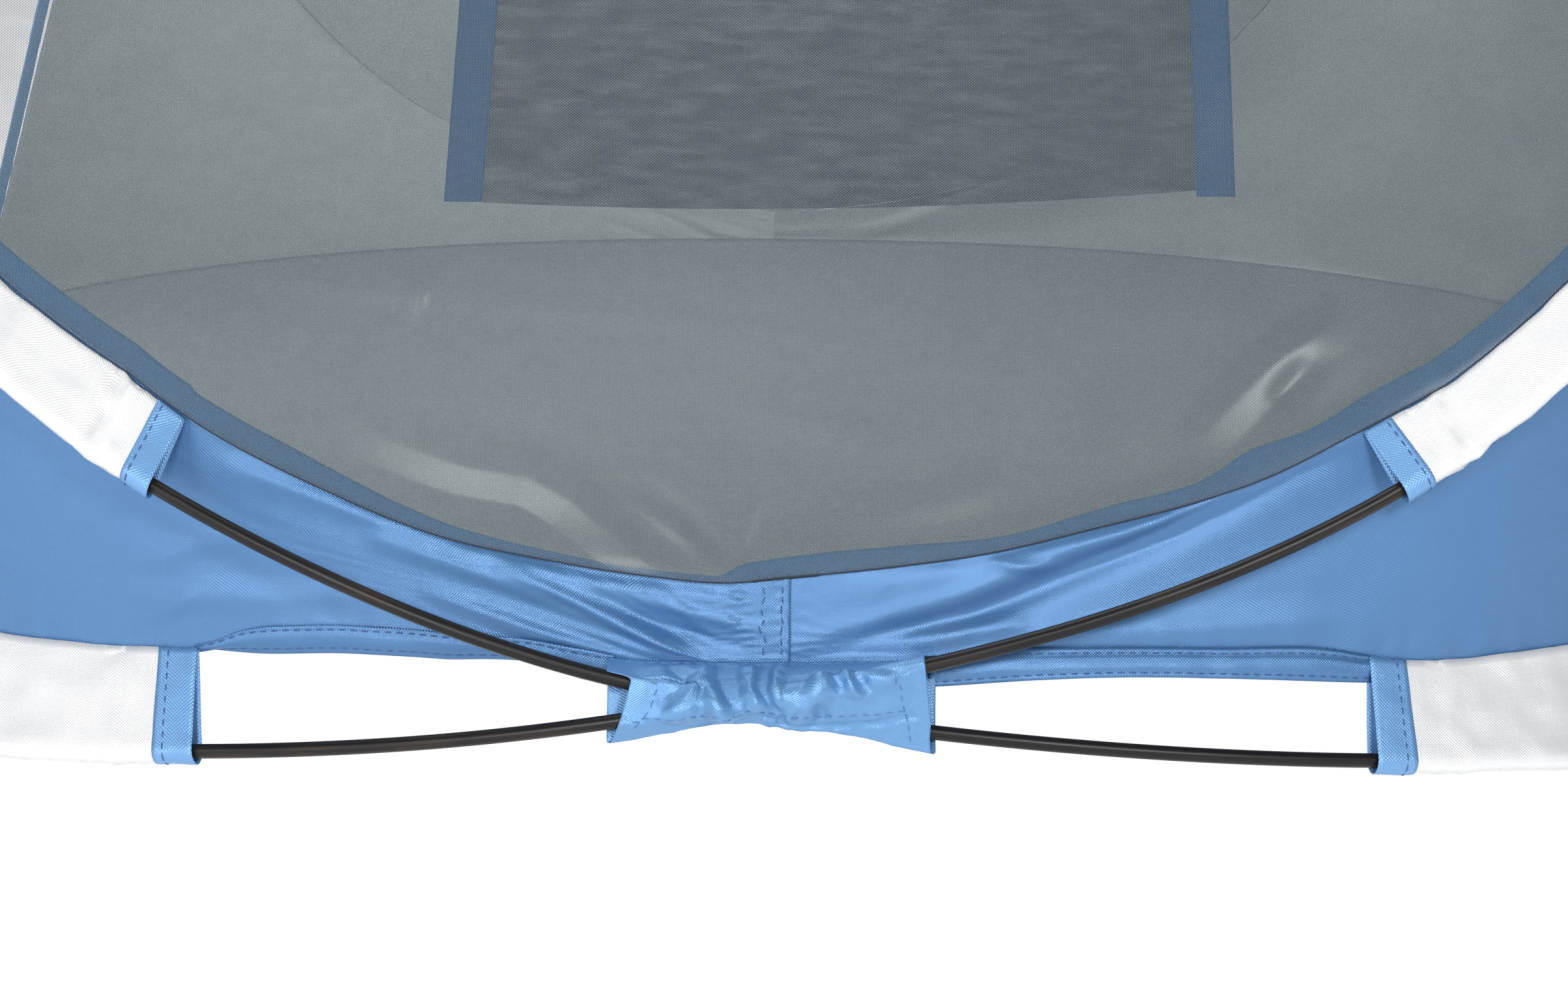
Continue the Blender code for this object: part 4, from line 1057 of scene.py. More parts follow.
def hoops():
    """Fine rods for the bare ends, and rod and steel finishes for what the sleeves hide."""
    for letter, rib_side in (("a", 1), ("b", -1)):
        for end, y in ENDS:
            name = f"hoop_{letter}_{end}_rod"
            rod = tube(f"bare_{name}", rod_line(rib_side, y), ROD_RADIUS, FIBRE)
            dress(rod, (name,))
            for kind in ("rib", "floor"):
                frame["nodes"][f"hoop_{letter}_{end}_{kind}_ferrule"].material_slots[0].material = STEEL
        for kind in ("roof", "floor"):
            frame["nodes"][f"hoop_{letter}_{kind}_rod"].material_slots[0].material = HIDDEN_FIBRE


# Walls and window


def around(line_at, places, x):
    """A line round one side, from the photographed end's middle to the other end's."""
    return met(line_at(places, x, 1), line_at(places, x, -1))


def panel(first, last, rows, sag=None):
    """Points between two edges, in even rows, sagging or drawn in between them."""
    shares = np.linspace(0.0, 1.0, rows + 1)[None, :, None]
    grid = first[:, None] + shares * (last - first)[:, None]
    if sag is not None:
        tall = np.linalg.norm(last - first, axis=1)[:, None]
        grid = grid + 4 * (shares * (1 - shares)) * tall[..., None] * np.asarray(sag)
    return grid


def wall_relief(cloth, seed):
    """Folds that run down to the crossing, puckers along the sewn edges and broad soft waves."""
    x, y, z = cloth.grid[..., 0], cloth.grid[..., 1], cloth.grid[..., 2]
    relief = cloth.waves((0.0030, (0.22, 0.22, 0.16), seed), (0.0009, (0.050, 0.050, 0.030), seed + 5),
                         (0.0004, (0.016, 0.016, 0.010), seed + 9))
    near_end = smooth(0.32 - np.abs(x), 0.0, 0.05) * (np.abs(y) > 0.5)
    relief *= 1.0 - 0.75 * near_end
    near_end = near_end * np.where(y < 0.0, 1.0, FAR_END_FOLDS)
    for line, width, height in LEFT_WALL_FOLDS + RIGHT_WALL_FOLDS:
        relief += near_end * crease(x, z, line, width, WALL_FOLD_STRENGTH * height)
    fan = np.arctan2(z - 0.0400, np.abs(x - 0.0050) + 0.0100)
    drawn = np.stack([fan * 0.20, 0.12 * np.hypot(x, z), 0 * x], axis=-1)
    crinkle = 0.0003 + 0.0008 * smooth(-x, 0.004, 0.012)
    relief += near_end * crinkle * rumple(drawn, 0.0075, seed + 7) * bell(x, 0.085)
    edge = cloth.edge_distance()
    waves = rumple(cloth.grid * np.array([1.0, 1.0, 0.0]), 0.007, seed + 2)
    relief += 0.0006 * waves * bell(edge, 0.012)
    relief *= 1.0 - bell(edge, 0.0035)
    return np.maximum(relief, -0.0002 - 0.24 * np.maximum(edge - 0.0040, 0.0))


def wall_foot(places, x, y):
    """The wall's lower edge, a little below the seam that the hem band hides."""
    line = lower_line(under(places), x, y)
    line[:, 2] -= FOOT_LAP
    line[:, 1] += 0.0004 * y
    return line


def wall(name, side, ends, last, sag=None):
    """One wall between its two seams, from an end's middle to its last place."""
    x = SIDE_SIGN[side]
    first = -FELL_LAP if side == "front" else -0.5 * FELL_LAP
    places = np.concatenate([np.linspace(first, 0.0, 5)[:-1], stations(0.0, last)])
    edges = []
    for line_at in (upper_line, wall_foot):
        lines = [lapped(line_at, places, x, y) for y in ends]
        edges.append(met(*lines) if len(ends) == 2 else lines[0])
    cloth = Cloth(panel(edges[0], edges[1], WALL_ROWS, sag))
    relief = wall_relief(cloth, 11 + 3 * x)
    if side == "front":
        across, height = cloth.grid[..., 0], cloth.grid[..., 2]
        relief += 0.0007 * smooth(across, -0.0085, -0.0060)
        for row in FELL_ROWS:
            groove = bell(across - row, 0.0007)
            relief -= 0.00030 * groove * (1 + 0.5 * np.sin(2 * math.pi * height / STITCH_PITCH))
    cloth.push(relief)
    sheet(f"{name}_cloth", cloth, BLUE, "blue_cloth", (name,), "stretched",
          ["hoop_a_roof_rod", "hoop_b_roof_rod"], lining=LINING)
    if side == "front":
        heights = np.linspace(*FELL_HEIGHTS, 60)
        depth = np.interp(heights, FELL_HEIGHTS, FELL_DEPTHS) * ends[0]
        lines = [np.stack([np.full(60, row), depth, heights], axis=1) for row in FELL_ROWS]
        stitches(f"{name}_fell_stitches", [cloth.seat(line) for line in lines], THREAD)


def window_rows(y):
    """Rows of one end panel, from its foot up to the roof."""
    places = stations(0.0008, UPPER_TOP - PANEL_GAP)
    front, back = upper_line(places, -1, y), upper_line(places, 1, y)
    if y > 0:
        for edge in (front, back):
            edge[:, 2] -= NET_LAP
            edge[:, 1] -= NET_LAP * math.tan(END_LEAN)
    return panel(front, back, WINDOW_ROWS)


def net_window():
    """The net, with its photographed folds and glints, its hem lying on the walls."""
    cloth = Cloth(window_rows(1))
    grid = cloth.grid
    x, z = grid[..., 0], grid[..., 2]
    uv = np.stack([x, z / math.cos(END_LEAN)], axis=-1)
    relief = cloth.waves((0.0016, 0.12, 31), (0.0005, 0.03, 33))
    for line, width, height in NET_FOLDS:
        relief += crease(x, z, line, width, height)
    for line, width, height in NET_RIDGES:
        relief += crease(x, z, line, width, height, sharp=True)
    edge = np.minimum(cloth.edge_distance(), 1.0)
    above = z - through(np.clip(x, -0.24, 0.2466), NET_EDGE)
    edge = np.minimum(edge, np.where(np.abs(x) < 0.26, np.maximum(above, 0.0), 1.0))
    relief *= 1.0 - 0.7 * bell(edge, 0.004)
    cloth.push(relief + NET_LIFT * bell(edge, 0.010))
    net = sheet("window_netting_right", cloth, NET, "window_net", ("net_window_right",), "stretched",
                ["back_wall_cloth", "front_corner_right_cloth"], uv=uv, thickness=0.0)
    hem = net.data.attributes.new("from_edge", "FLOAT", "POINT")
    hem.data.foreach_set("value", (1000.0 * np.minimum(edge, 0.1)).reshape(-1))


def seam_allowance():
    """The blue edge of the walls, turned up behind the net all round the window."""
    places = stations(0.0, UPPER_TOP - 0.004)
    line = np.vstack([upper_line(places, -1, 1)[::-1], upper_line(places[1:], 1, 1)])
    face = np.array([0.0, -math.cos(END_LEAN), math.sin(END_LEAN)])
    way = unit(np.gradient(line, axis=0))
    inward = np.cross(face, way)
    inward *= np.sign((inward * (np.array([0.0, -0.6, 0.4]) - line)).sum(axis=1, keepdims=True))
    tall = through(line[:, 0], BAND_WIDTH)
    width = np.where(np.abs(line[:, 0]) < 0.22, tall, BAND_SIDE_WIDTH) * np.abs(way[:, 0] * 0.75 + 0.25)
    width = np.maximum(width, BAND_LEAST_WIDTH)
    rows = []
    for share in np.linspace(0.0, 1.0, 7):
        shift = -NET_LAP + BAND_LAP + share * width
        rows.append(line + inward * shift[:, None] - face * (BAND_DEPTHS[0] + BAND_DEPTHS[1] * share))
    cloth = Cloth(rows)
    cloth.push(cloth.waves((0.0005, 0.010, 41)))
    sheet("seam_allowance_right", cloth, BAND, "blue_cloth", (), "stretched",
          ["window_netting_right"])


def far_panel():
    """The silver panel that closes the far end."""
    cloth = Cloth(window_rows(-1))
    cloth.push(cloth.waves((0.0030, 0.16, 51), (0.0008, 0.04, 53)))
    sheet("end_panel_left_cloth", cloth, SILVER, "silver_cloth", ("end_panel_left",), "stretched",
          ["back_wall_cloth", "front_corner_left_cloth"], lining=FAR_LINING_PAINTED_LIGHTER)


def roof():
    """The silver roof, drawn in a little between its ends and gathered along both seams."""
    places = stations(UPPER_TOP + PANEL_GAP, UPPER_LENGTH, FAR_STEP, FAR_STEP)
    front, back = around(upper_line, places, -1), around(upper_line, places, 1)
    along = np.linspace(0.0, 1.0, len(front))
    grid = panel(front, back, ROOF_ROWS)
    shares = np.linspace(0.0, 1.0, ROOF_ROWS + 1)[None, :]
    grid[..., 2] -= 16 * ROOF_SAG * shares * (1 - shares) * (along * (1 - along))[:, None]
    cloth = Cloth(grid)
    edge = cloth.edge_distance()
    relief = cloth.waves((0.0040, 0.20, 61), (0.0012, 0.05, 63))
    gathers = rumple(cloth.grid * np.array([0.0, 1.0, 0.0]), 0.018, 65)
    relief += 0.0009 * gathers * bell(edge, 0.035)
    cloth.push(relief * (1.0 - bell(edge, 0.006)))
    sheet("roof_panel_cloth", cloth, SILVER, "silver_cloth", ("roof_panel",), "stretched",
          ["hoop_a_roof_rod", "hoop_b_roof_rod"], lining=LINING)


def floor():
    """The floor: flat in the middle, its rim turned up to the walls' foot all round."""
    places = stations(0.002, LOWER_LENGTH, 0.008, 0.016)
    back, front = around(lower_line, places, 1), around(lower_line, places, -1)
    rim = np.vstack([back, front[::-1]])
    radius = np.hypot(rim[:, 0], rim[:, 1])
    side = np.minimum(1.0, (rim[:, 0] / FLOOR_HALF_WIDTH) ** 2)
    ramp = FLOOR_RAMP_END + (FLOOR_RAMP_SIDE - FLOOR_RAMP_END) * side
    inset = FLOOR_INSETS[0] + FLOOR_INSETS[1] * smooth(-rim[:, 1], 0.45, 0.65)
    rings = []
    middle = 1.0 + np.concatenate([np.linspace(0.06, 0.96, 16), [0.985, 0.995, 0.9985]])
    for share in np.concatenate([np.linspace(0.0, 1.0, FLOOR_RAMP_RINGS), middle]):
        if share <= 1.0:
            reach = radius - inset - share * ramp
            height = FLOOR_TOP + (rim[:, 2] + FLOOR_RIM_LAP - FLOOR_TOP) * (1 - share) ** 1.15
        else:
            reach = (radius - inset - ramp) * (2.0 - share)
            height = np.full(len(rim), FLOOR_TOP)
        rings.append(np.stack([rim[:, 0] * reach / radius, rim[:, 1] * reach / radius, height], axis=1))
    cloth = Cloth(rings, ring=True, facing=UPWARD)
    x, y = cloth.grid[..., 0], cloth.grid[..., 1]
    wrinkles = rumple(cloth.grid * np.array([1.0, 0.35, 0.0]), 0.05, 71)
    relief = 0.0022 * np.maximum(wrinkles, 0.0) + 0.0012 * (1 + rumple(cloth.grid, 0.20, 73))
    depth = np.minimum(np.arange(len(rings)) / (FLOOR_RAMP_RINGS - 1), 1.0)[:, None]
    cloth.push(relief * smooth(depth, 0.0, 0.25) * (1.0 - 0.5 * smooth(depth, 0.5, 1.0)))
    flat = (2 * FLOOR_HALF_WIDTH, 2 * HALF_LENGTH)
    corner = cloth.grid[:-1, :-1]
    tiles = np.cross(cloth.grid[1:, :-1] - corner, cloth.grid[:-1, 1:] - corner)
    area = float(np.linalg.norm(tiles, axis=2).sum())
    sheet("floor_sheet_cloth", cloth, GROUND, "grey_floor_cloth", ("floor_sheet",), "laid", ["ground"],
          (flat, min(area, 0.99 * flat[0] * flat[1])), uv=cloth.closed()[..., :2])


# Sleeves


def sleeve_starts(kind, side, y):
    """Where a sleeve starts: distances along its seam and along its rod."""
    seam_x, rod_x = TAPE_START, (RIB_ENTRY[0] if kind == "roof" else TAPE_START)
    if y > 0:
        seam_x, rod_x = SLEEVE_STARTS[side][:2] if kind == "roof" else SLEEVE_STARTS[side][2:]
    if kind == "roof":
        return place_of_x(LOW_UPPER, seam_x), place_of_x(RIB[: DENSE + 100], rod_x)
    return place_of_x(LOWER[:NEAR_FLOOR], seam_x), place_of_x(FLOOR[:NEAR_FLOOR], rod_x)


def sleeve_lines(kind, side, y, travel):
    """Points of one quarter's seam, of its rod and of its wall's other edge, this far along a sleeve."""
    x = SIDE_SIGN[side]
    seam_start, rod_start = sleeve_starts(kind, side, y)
    seam_end, rod_end = (UPPER_LENGTH, RIB_LENGTH) if kind == "roof" else (LOWER_LENGTH, FLOOR_LENGTH)
    share = np.asarray(travel) / (seam_end - seam_start)
    seam_at = seam_start + share * (seam_end - seam_start)
    rod_at = rod_start + share * (rod_end - rod_start)
    if kind == "roof":
        seam, rod = upper_line(seam_at, x, y), pick(RIB, rod_at)
        wall_end = lower_line(np.minimum(under(seam_at), LOWER_LENGTH), x, y)
    else:
        seam, rod = lower_line(seam_at, x, y), pick(FLOOR, rod_at)
        above = (seam_at - LOWER_START) * (UPPER_LENGTH - UPPER_START) / (LOWER_LENGTH - LOWER_START)
        wall_end = upper_line(UPPER_START + above, x, y)
    return seam, mirrored(rod, x, y), wall_end


def sleeve_loops(seam, rod, wall_end, swell=0.0, sides=30):
    """Flattened loops from beside the seam round the rod and back."""
    ways = unit(np.gradient(rod, axis=0))
    out = unit(rod - seam)
    side = unit(np.cross(ways, out))
    wall_way = unit(wall_end - seam)
    angle = np.arccos(np.clip((out * wall_way).sum(axis=1), -1.0, 1.0))
    gap = (SLEEVE_SEAM_GAP / np.maximum(np.sin(np.minimum(angle, math.pi / 2)), 0.3))[:, None]
    half = SLEEVE_HALF_THICKNESS + swell
    loops = [seam + gap * out + half * side]
    for turn in np.radians(np.linspace(-100.0, 100.0, 15)):
        loops.append(rod + (SLEEVE_RADIUS + swell) * (math.cos(turn) * out - math.sin(turn) * side))
    loops.append(seam + gap * out - half * side)
    coarse = np.stack(loops, axis=1)
    shares = np.linspace(0.0, 1.0, sides)
    return np.stack([pick(loop, shares * lengths(loop)[-1]) for loop in coarse])


def sleeve_tape(kind, side, end, y):
    """The blue binding round a sleeve's end, with its row of stitches."""
    x = SIDE_SIGN[side]
    travel = np.linspace(0.0, TAPE_TRAVEL[kind], 9)
    lines = sleeve_lines(kind, side, y, travel)
    tape = Cloth(sleeve_loops(*lines, swell=TAPE_SWELL, sides=44), ring=True)
    tape.push(tape.waves((0.00035, 0.008, 81 + x), (0.0005, 0.018, 82 + x)))
    node = f"{kind}_sleeve_binding_{side}_{end}"
    sheet(f"{kind}_sleeve_tape_{side}_{end}", tape, TAPE, "blue_tape", (node,), "stretched",
          [f"{kind}_sleeve_{side}_cloth"])
    stitches(f"{kind}_tape_stitches_{side}_{end}", [tape.line(TAPE_STITCHES[kind], 0)], THREAD)


def sleeves():
    """The four silver sleeves, each from one end's bindings to the other's."""
    for kind in ("roof", "floor"):
        for side, x in SIDES:
            quarters = []
            for end, y in ENDS:
                seam_start, _ = sleeve_starts(kind, side, y)
                total = (UPPER_LENGTH if kind == "roof" else LOWER_LENGTH) - seam_start
                travel = stations(0.5 * TAPE_TRAVEL[kind], total, 0.0035, 0.010)
                quarters.append(sleeve_lines(kind, side, y, travel))
                sleeve_tape(kind, side, end, y)
            cloth = Cloth(sleeve_loops(*(met(a, b) for a, b in zip(*quarters))), ring=True)
            along = lengths(cloth.grid.mean(axis=1))
            from_end = np.minimum(along, along[-1] - along)[:, None]
            puckers = rumple(cloth.grid * np.array([1.0, 1.0, 0.4]), 0.0055, 85 + x)
            relief = cloth.waves((0.0010, 0.016, 83 + x), (0.0004, 0.006, 87 + x))
            relief += SLEEVE_PUCKERS[kind] * puckers * bell(from_end - 0.014, 0.018)
            free = smooth(from_end, TAPE_TRAVEL[kind] - 0.005, TAPE_TRAVEL[kind] + 0.004)
            cloth.push(relief * free)
            rods = [f"hoop_{letter}_{kind}_rod" for letter in ("a", "b")]
            name = f"{kind}_sleeve_{side}"
            sheet(f"{name}_cloth", cloth, SILVER, "silver_cloth", (name,), "stretched", rods)


# Crossing


def flanges():
    """The hem band that hangs below the walls beside the wrap, with its two rows of stitches."""
    for side, x in SIDES:
        for end, y in ENDS:
            reach = np.linspace(FLANGE_START, SLEEVE_STARTS[side][2] + 0.001, 130)
            places = place_of_x(LOWER[:NEAR_FLOOR], reach)
            top = lower_line(places, x, y)
            foot = top.copy()
            if y > 0:
                foot[:, 2] = through(x * reach, BAND_FOOT)
            else:
                foot[:, 2] -= FLANGE_DROP
            top[:, 1] -= 0.0008 * y
            foot[:, 1] -= FLANGE_KICKS[side] * y
            cloth = Cloth(panel(top, foot, 10))
            shares = np.linspace(0.0, 1.0, 11)[None]
            relief = cloth.waves((0.0009, (0.014, 0.014, 0.03), 91 + x)) * (0.3 + shares)
            relief += 0.0012 * np.sin(math.pi * shares)
            for row in FLANGE_ROWS:
                relief -= 0.0006 * bell(shares - row, 0.07)
            cloth.push(relief)
            name = f"seam_flange_{side}_{end}"
            sheet(f"{name}_cloth", cloth, BLUE, "blue_cloth", (name,), "hung", ["floor_sheet_cloth"])
            stitches(f"flange_stitches_{side}_{end}", [cloth.line(row, 1) for row in FLANGE_ROWS], THREAD)


def hull(points):
    """The tight loop round these (y, z) points, from the highest point round by -Y."""
    ordered = sorted(map(tuple, points))

    def chain(run):
        kept = []
        for p in run:
            while len(kept) > 1:
                (ay, az), (by, bz) = kept[-2], kept[-1]
                if (by - ay) * (p[1] - az) - (bz - az) * (p[0] - ay) > 0:
                    break
                kept.pop()
            kept.append(p)
        return kept[:-1]

    return np.array(chain(ordered) + chain(ordered[::-1]))


def crossing_wrap(end, y):
    """The loop of cloth that holds both rods: sewn to the walls' foot, crumpled in front."""
    turned = 1 if y > 0 else -1
    rods = []
    for rib_side in (1, -1):
        line = rod_line(rib_side, y) * np.array([turned, y, 1.0])
        line = line[np.abs(line[:, 0]) < 0.09]
        rods.append(line[np.argsort(line[:, 0])])
    round_rod = np.arange(24) * 2 * math.pi / 24
    loops = []
    for share in np.linspace(0.0, 1.0, WRAP_CUTS):
        x = WRAP_LEFT + share * (WRAP_RIGHT - WRAP_LEFT)
        points = []
        for line in rods:
            rod_y, rod_z = (np.interp(x, line[:, 0], line[:, k]) for k in (1, 2))
            for a in round_rod:
                points.append((rod_y + WRAP_ROOM * math.cos(a), rod_z + WRAP_ROOM * math.sin(a)))
        foot = float(through(np.array([x]), WRAP_FOOT)[0])
        head = float(through(np.array([x]), WALL_FOOT)[0]) if y > 0 else HEM_HEIGHT_END
        top = (LOWER[0][1] - WRAP_HEAD_LIFT, head - WRAP_HEAD_DROP)
        points += [top, (-HALF_LENGTH, foot), (WRAP_HEM_Y, foot)]
        ring = hull(points)
        ring = np.roll(ring, -int(np.argmax(ring[:, 0])), axis=0)
        flat = np.column_stack([np.zeros(len(ring) + 1), np.vstack([ring, ring[:1]])])
        loop = pick(flat, np.linspace(0.0, 1.0, WRAP_TURNS + 1)[:-1] * lengths(flat)[-1])
        front = smooth(-loop[:, 1], *WRAP_FRONT)
        left = np.interp(loop[:, 2], *np.array(WRAP_LEFT_END).T)
        right = np.interp(loop[:, 2], *np.array(WRAP_RIGHT_END).T)
        left = front * left + (1 - front) * (WRAP_LEFT - WRAP_BACK_REACH)
        right = front * right + (1 - front) * (WRAP_RIGHT + WRAP_BACK_REACH)
        loop[:, 0] = left + share * (right - left)
        loops.append(loop)
    cloth = Cloth(loops, ring=True)
    grid = cloth.grid
    x, z = grid[..., 0], grid[..., 2]
    above_row = z - through(x, WRAP_FOOT_ROW)
    inside_hems = smooth(0.052 - np.abs(x), 0.0, 0.012)
    front = smooth(-cloth.outward()[..., 1], 0.10, 0.40)
    head = through(np.clip(x, WRAP_LEFT, WRAP_RIGHT), WALL_FOOT)
    front = front * smooth(head - z, 0.0002, 0.0030)
    relief = front * inside_hems * smooth(above_row, 0.0, 0.006) * 0.0010
    folds = [crease(x, z, line, width, height, sharp=True) for line, width, height in WRAP_CREASES]
    relief += WRAP_FOLD_STRENGTH * front * (np.max(folds, axis=0) + np.min(folds, axis=0))
    relief += front * cloth.waves((0.0006, 0.009, 95), (0.0003, 0.004, 97)) * inside_hems
    relief -= front * 0.0008 * bell(above_row, 0.0012) * (np.abs(x) < 0.053)
    cloth.push(np.maximum(relief, -0.0005))
    cloth.grid = cloth.grid * np.array([turned, y, 1.0])
    name = f"crossing_wrap_{end}"
    held = [f"bare_hoop_{letter}_{end}_rod" for letter in ("a", "b")]
    sheet(f"{name}_cloth", cloth, WRAP_BLUE_PAINTED_LIGHTER, "blue_cloth", (name,), "stretched", held)
    rows = []
    head_xs = np.linspace(*WRAP_HEAD_ROW, 40)
    head_row = list(zip(head_xs, through(head_xs, WALL_FOOT) - WRAP_HEAD_ROW_DROP))
    for row in (WRAP_LEFT_ROW, WRAP_RIGHT_ROW, WRAP_FOOT_ROW, head_row):
        depth = 0.7400 if row is head_row else 0.7600
        line = np.array([(turned * px, -depth * y, pz) for px, pz in row])
        rows.append(cloth.seat(pick(line, np.linspace(0.0, lengths(line)[-1], 60))))
    stitches(f"wrap_stitches_{end}", rows, WRAP_THREAD)


# Mouth, flap, pocket and pegs


def mouth_bindings():
    """The tape folded round each upright edge of the mouth, with its two rows of stitches."""
    for end, y in ENDS:
        foot = lower_line(under(np.array([MOUTH])), -1, y)[0]
        top = upper_line(np.array([MOUTH]), -1, y)[0]
        before = lower_line(under(np.array([MOUTH - 0.02])), -1, y)[0]
        up = unit(top - foot)
        along = foot - before
        along = unit(along - np.dot(along, up) * up)
        out = np.cross(up, along)
        out = out * (1 if np.dot(out, foot - np.array(CABIN_MIDDLE)) > 0 else -1)
        tall = np.linalg.norm(top - foot)
        heights = np.linspace(BINDING_END_GAP, tall - BINDING_END_GAP, 160)
        loop = []
        for a in np.arange(28) * 2 * math.pi / 28:
            wide = np.sign(math.cos(a)) * abs(math.cos(a)) ** 0.35
            thick = np.sign(math.sin(a)) * abs(math.sin(a)) ** 0.8
            loop.append((0.5 * BINDING_WIDTH * (1 + wide), BINDING_HALF_THICKNESS * thick))
        rows = [[foot + h * up + a * along + b * out for a, b in loop] for h in heights]
        cloth = Cloth(rows, ring=True)
        cloth.push(cloth.waves((0.00025, 0.008, 101)))
        obj = mesh_piece(f"mouth_binding_{end}_tape", cloth, TAPE, thickness=0.0)
        dress(obj, (f"mouth_binding_{end}",))
        rows = []
        for share in BINDING_ROWS:
            line = np.array([foot + h * up + share * BINDING_WIDTH * along + BINDING_STITCH_LIFT * out
                             for h in heights])
            rows.append((line, np.broadcast_to(out, line.shape)))
        stitches(f"mouth_binding_{end}_stitches", rows, THREAD)


def flap_hinge_x():
    """Where the flap's piping lies, close beside the floor sleeve."""
    reach = SLEEVE_RADIUS + SLEEVE_WALL + PIPING_RADIUS + PIPING_GAP
    rise = SLEEVE_RADIUS + SLEEVE_WALL - PIPING_RADIUS
    return -FLOOR_HALF_WIDTH - math.sqrt(reach**2 - rise**2)


def ground_flap():
    """The grey cloth that lies before the mouth, with piping along the edge that it turns on."""
    near = flap_hinge_x()
    straight = FLAP_LENGTH - FLAP_CORNER
    rows = []
    for reach in np.linspace(0.0, FLAP_LENGTH, FLAP_CUTS):
        half = FLAP_HALF_WIDTH + (FLAP_TIP_HALF_WIDTH - FLAP_HALF_WIDTH) * min(1.0, reach / straight)
        over = max(0.0, reach - straight) / FLAP_CORNER
        half -= FLAP_CORNER * (1 - math.sqrt(max(0.0, 1 - over**2)))
        y = np.linspace(-half, half, 120)
        rows.append(np.stack([near - reach + 0 * y, y, FLAP_TOP + 0 * y], axis=1))
    cloth = Cloth(rows, facing=UPWARD)
    away = np.linspace(0.0, 1.0, FLAP_CUTS)[:, None]
    relief = 0.0016 * np.maximum(rumple(cloth.grid * np.array([0.4, 1.0, 0.0]), 0.06, 111), 0.0)
    relief += 0.0005 * (1 + rumple(cloth.grid, 0.02, 113))
    cloth.push(relief * smooth(away, 0.0, 0.15))
    sheet("front_flap_cloth", cloth, GROUND, "grey_floor_cloth", ("front_flap",), "laid", ["ground"],
          body="flap", thickness=FLAP_CLOTH)
    half = FLAP_HALF_WIDTH + 0.002
    line = np.array([(near, y, PIPING_RADIUS) for y in np.linspace(-half, half, 220)])
    piping = tube("front_flap_piping", line, PIPING_RADIUS, GROUND, sides=16)
    dress(piping, ("front_flap",), "flap")


def pocket_spot(x, z, inside):
    """Points this far inside the net, below x and z on the leaning plane."""
    inward = np.array([0.0, math.cos(END_LEAN), -math.sin(END_LEAN)])
    return np.stack([x, end_plane_y(z), z], axis=-1) + inside * inward


def pocket():
    """The net pocket inside the window, between its two tapes."""
    inner = (POCKET_LEFT + POCKET_TAPE_WIDTH, POCKET_RIGHT - POCKET_TAPE_WIDTH)
    x, share = np.meshgrid(np.linspace(*inner, 110), np.linspace(0.0, 1.0, 80))
    middle = 2 * (x - POCKET_LEFT) / (POCKET_RIGHT - POCKET_LEFT) - 1
    foot = POCKET_FOOT - POCKET_SAG * (1 - middle**2) + POCKET_FOOT_TILT * middle - 0.0008
    z = foot + share * (POCKET_FOOT + POCKET_HEIGHT - foot)
    lean = 0.5 * ((1 - middle) * POCKET_LEANS[0] + (1 + middle) * POCKET_LEANS[1])
    x = x + lean * (z - POCKET_FOOT)
    cloth = Cloth(pocket_spot(x, z, POCKET_NET_ROOM))
    cloth.push(cloth.waves((0.0012, 0.05, 121)) - 0.0006)
    uv = np.stack([cloth.grid[..., 0], cloth.grid[..., 2] / math.cos(END_LEAN)], axis=-1)
    sheet("pocket_netting", cloth, POCKET, "window_net", ("pocket_net",), "hung",
          ["pocket_tape_left_cloth", "pocket_tape_right_cloth"], uv=uv, thickness=0.0)
    spans = ((POCKET_LEFT, inner[0]), (inner[1], POCKET_RIGHT))
    for name, span, lean, drop in zip(("left", "right"), spans, POCKET_LEANS, POCKET_DROPS):
        heights = np.linspace(POCKET_FOOT - drop, POCKET_FOOT + POCKET_HEIGHT, 90)
        x, z = np.meshgrid(np.linspace(*span, 9), heights)
        x = x + lean * (z - POCKET_FOOT)
        cloth = Cloth(pocket_spot(x, z, POCKET_TAPE_ROOM))
        cloth.push(cloth.waves((0.0003, 0.008, 123)))
        sheet(f"pocket_tape_{name}_cloth", cloth, POCKET_TAPE, "blue_tape", (f"pocket_tape_{name}",),
              "stretched", ["window_netting_right"])
        stitches(f"pocket_tape_stitches_{name}", [cloth.line(row, 1) for row in POCKET_ROWS], THREAD)


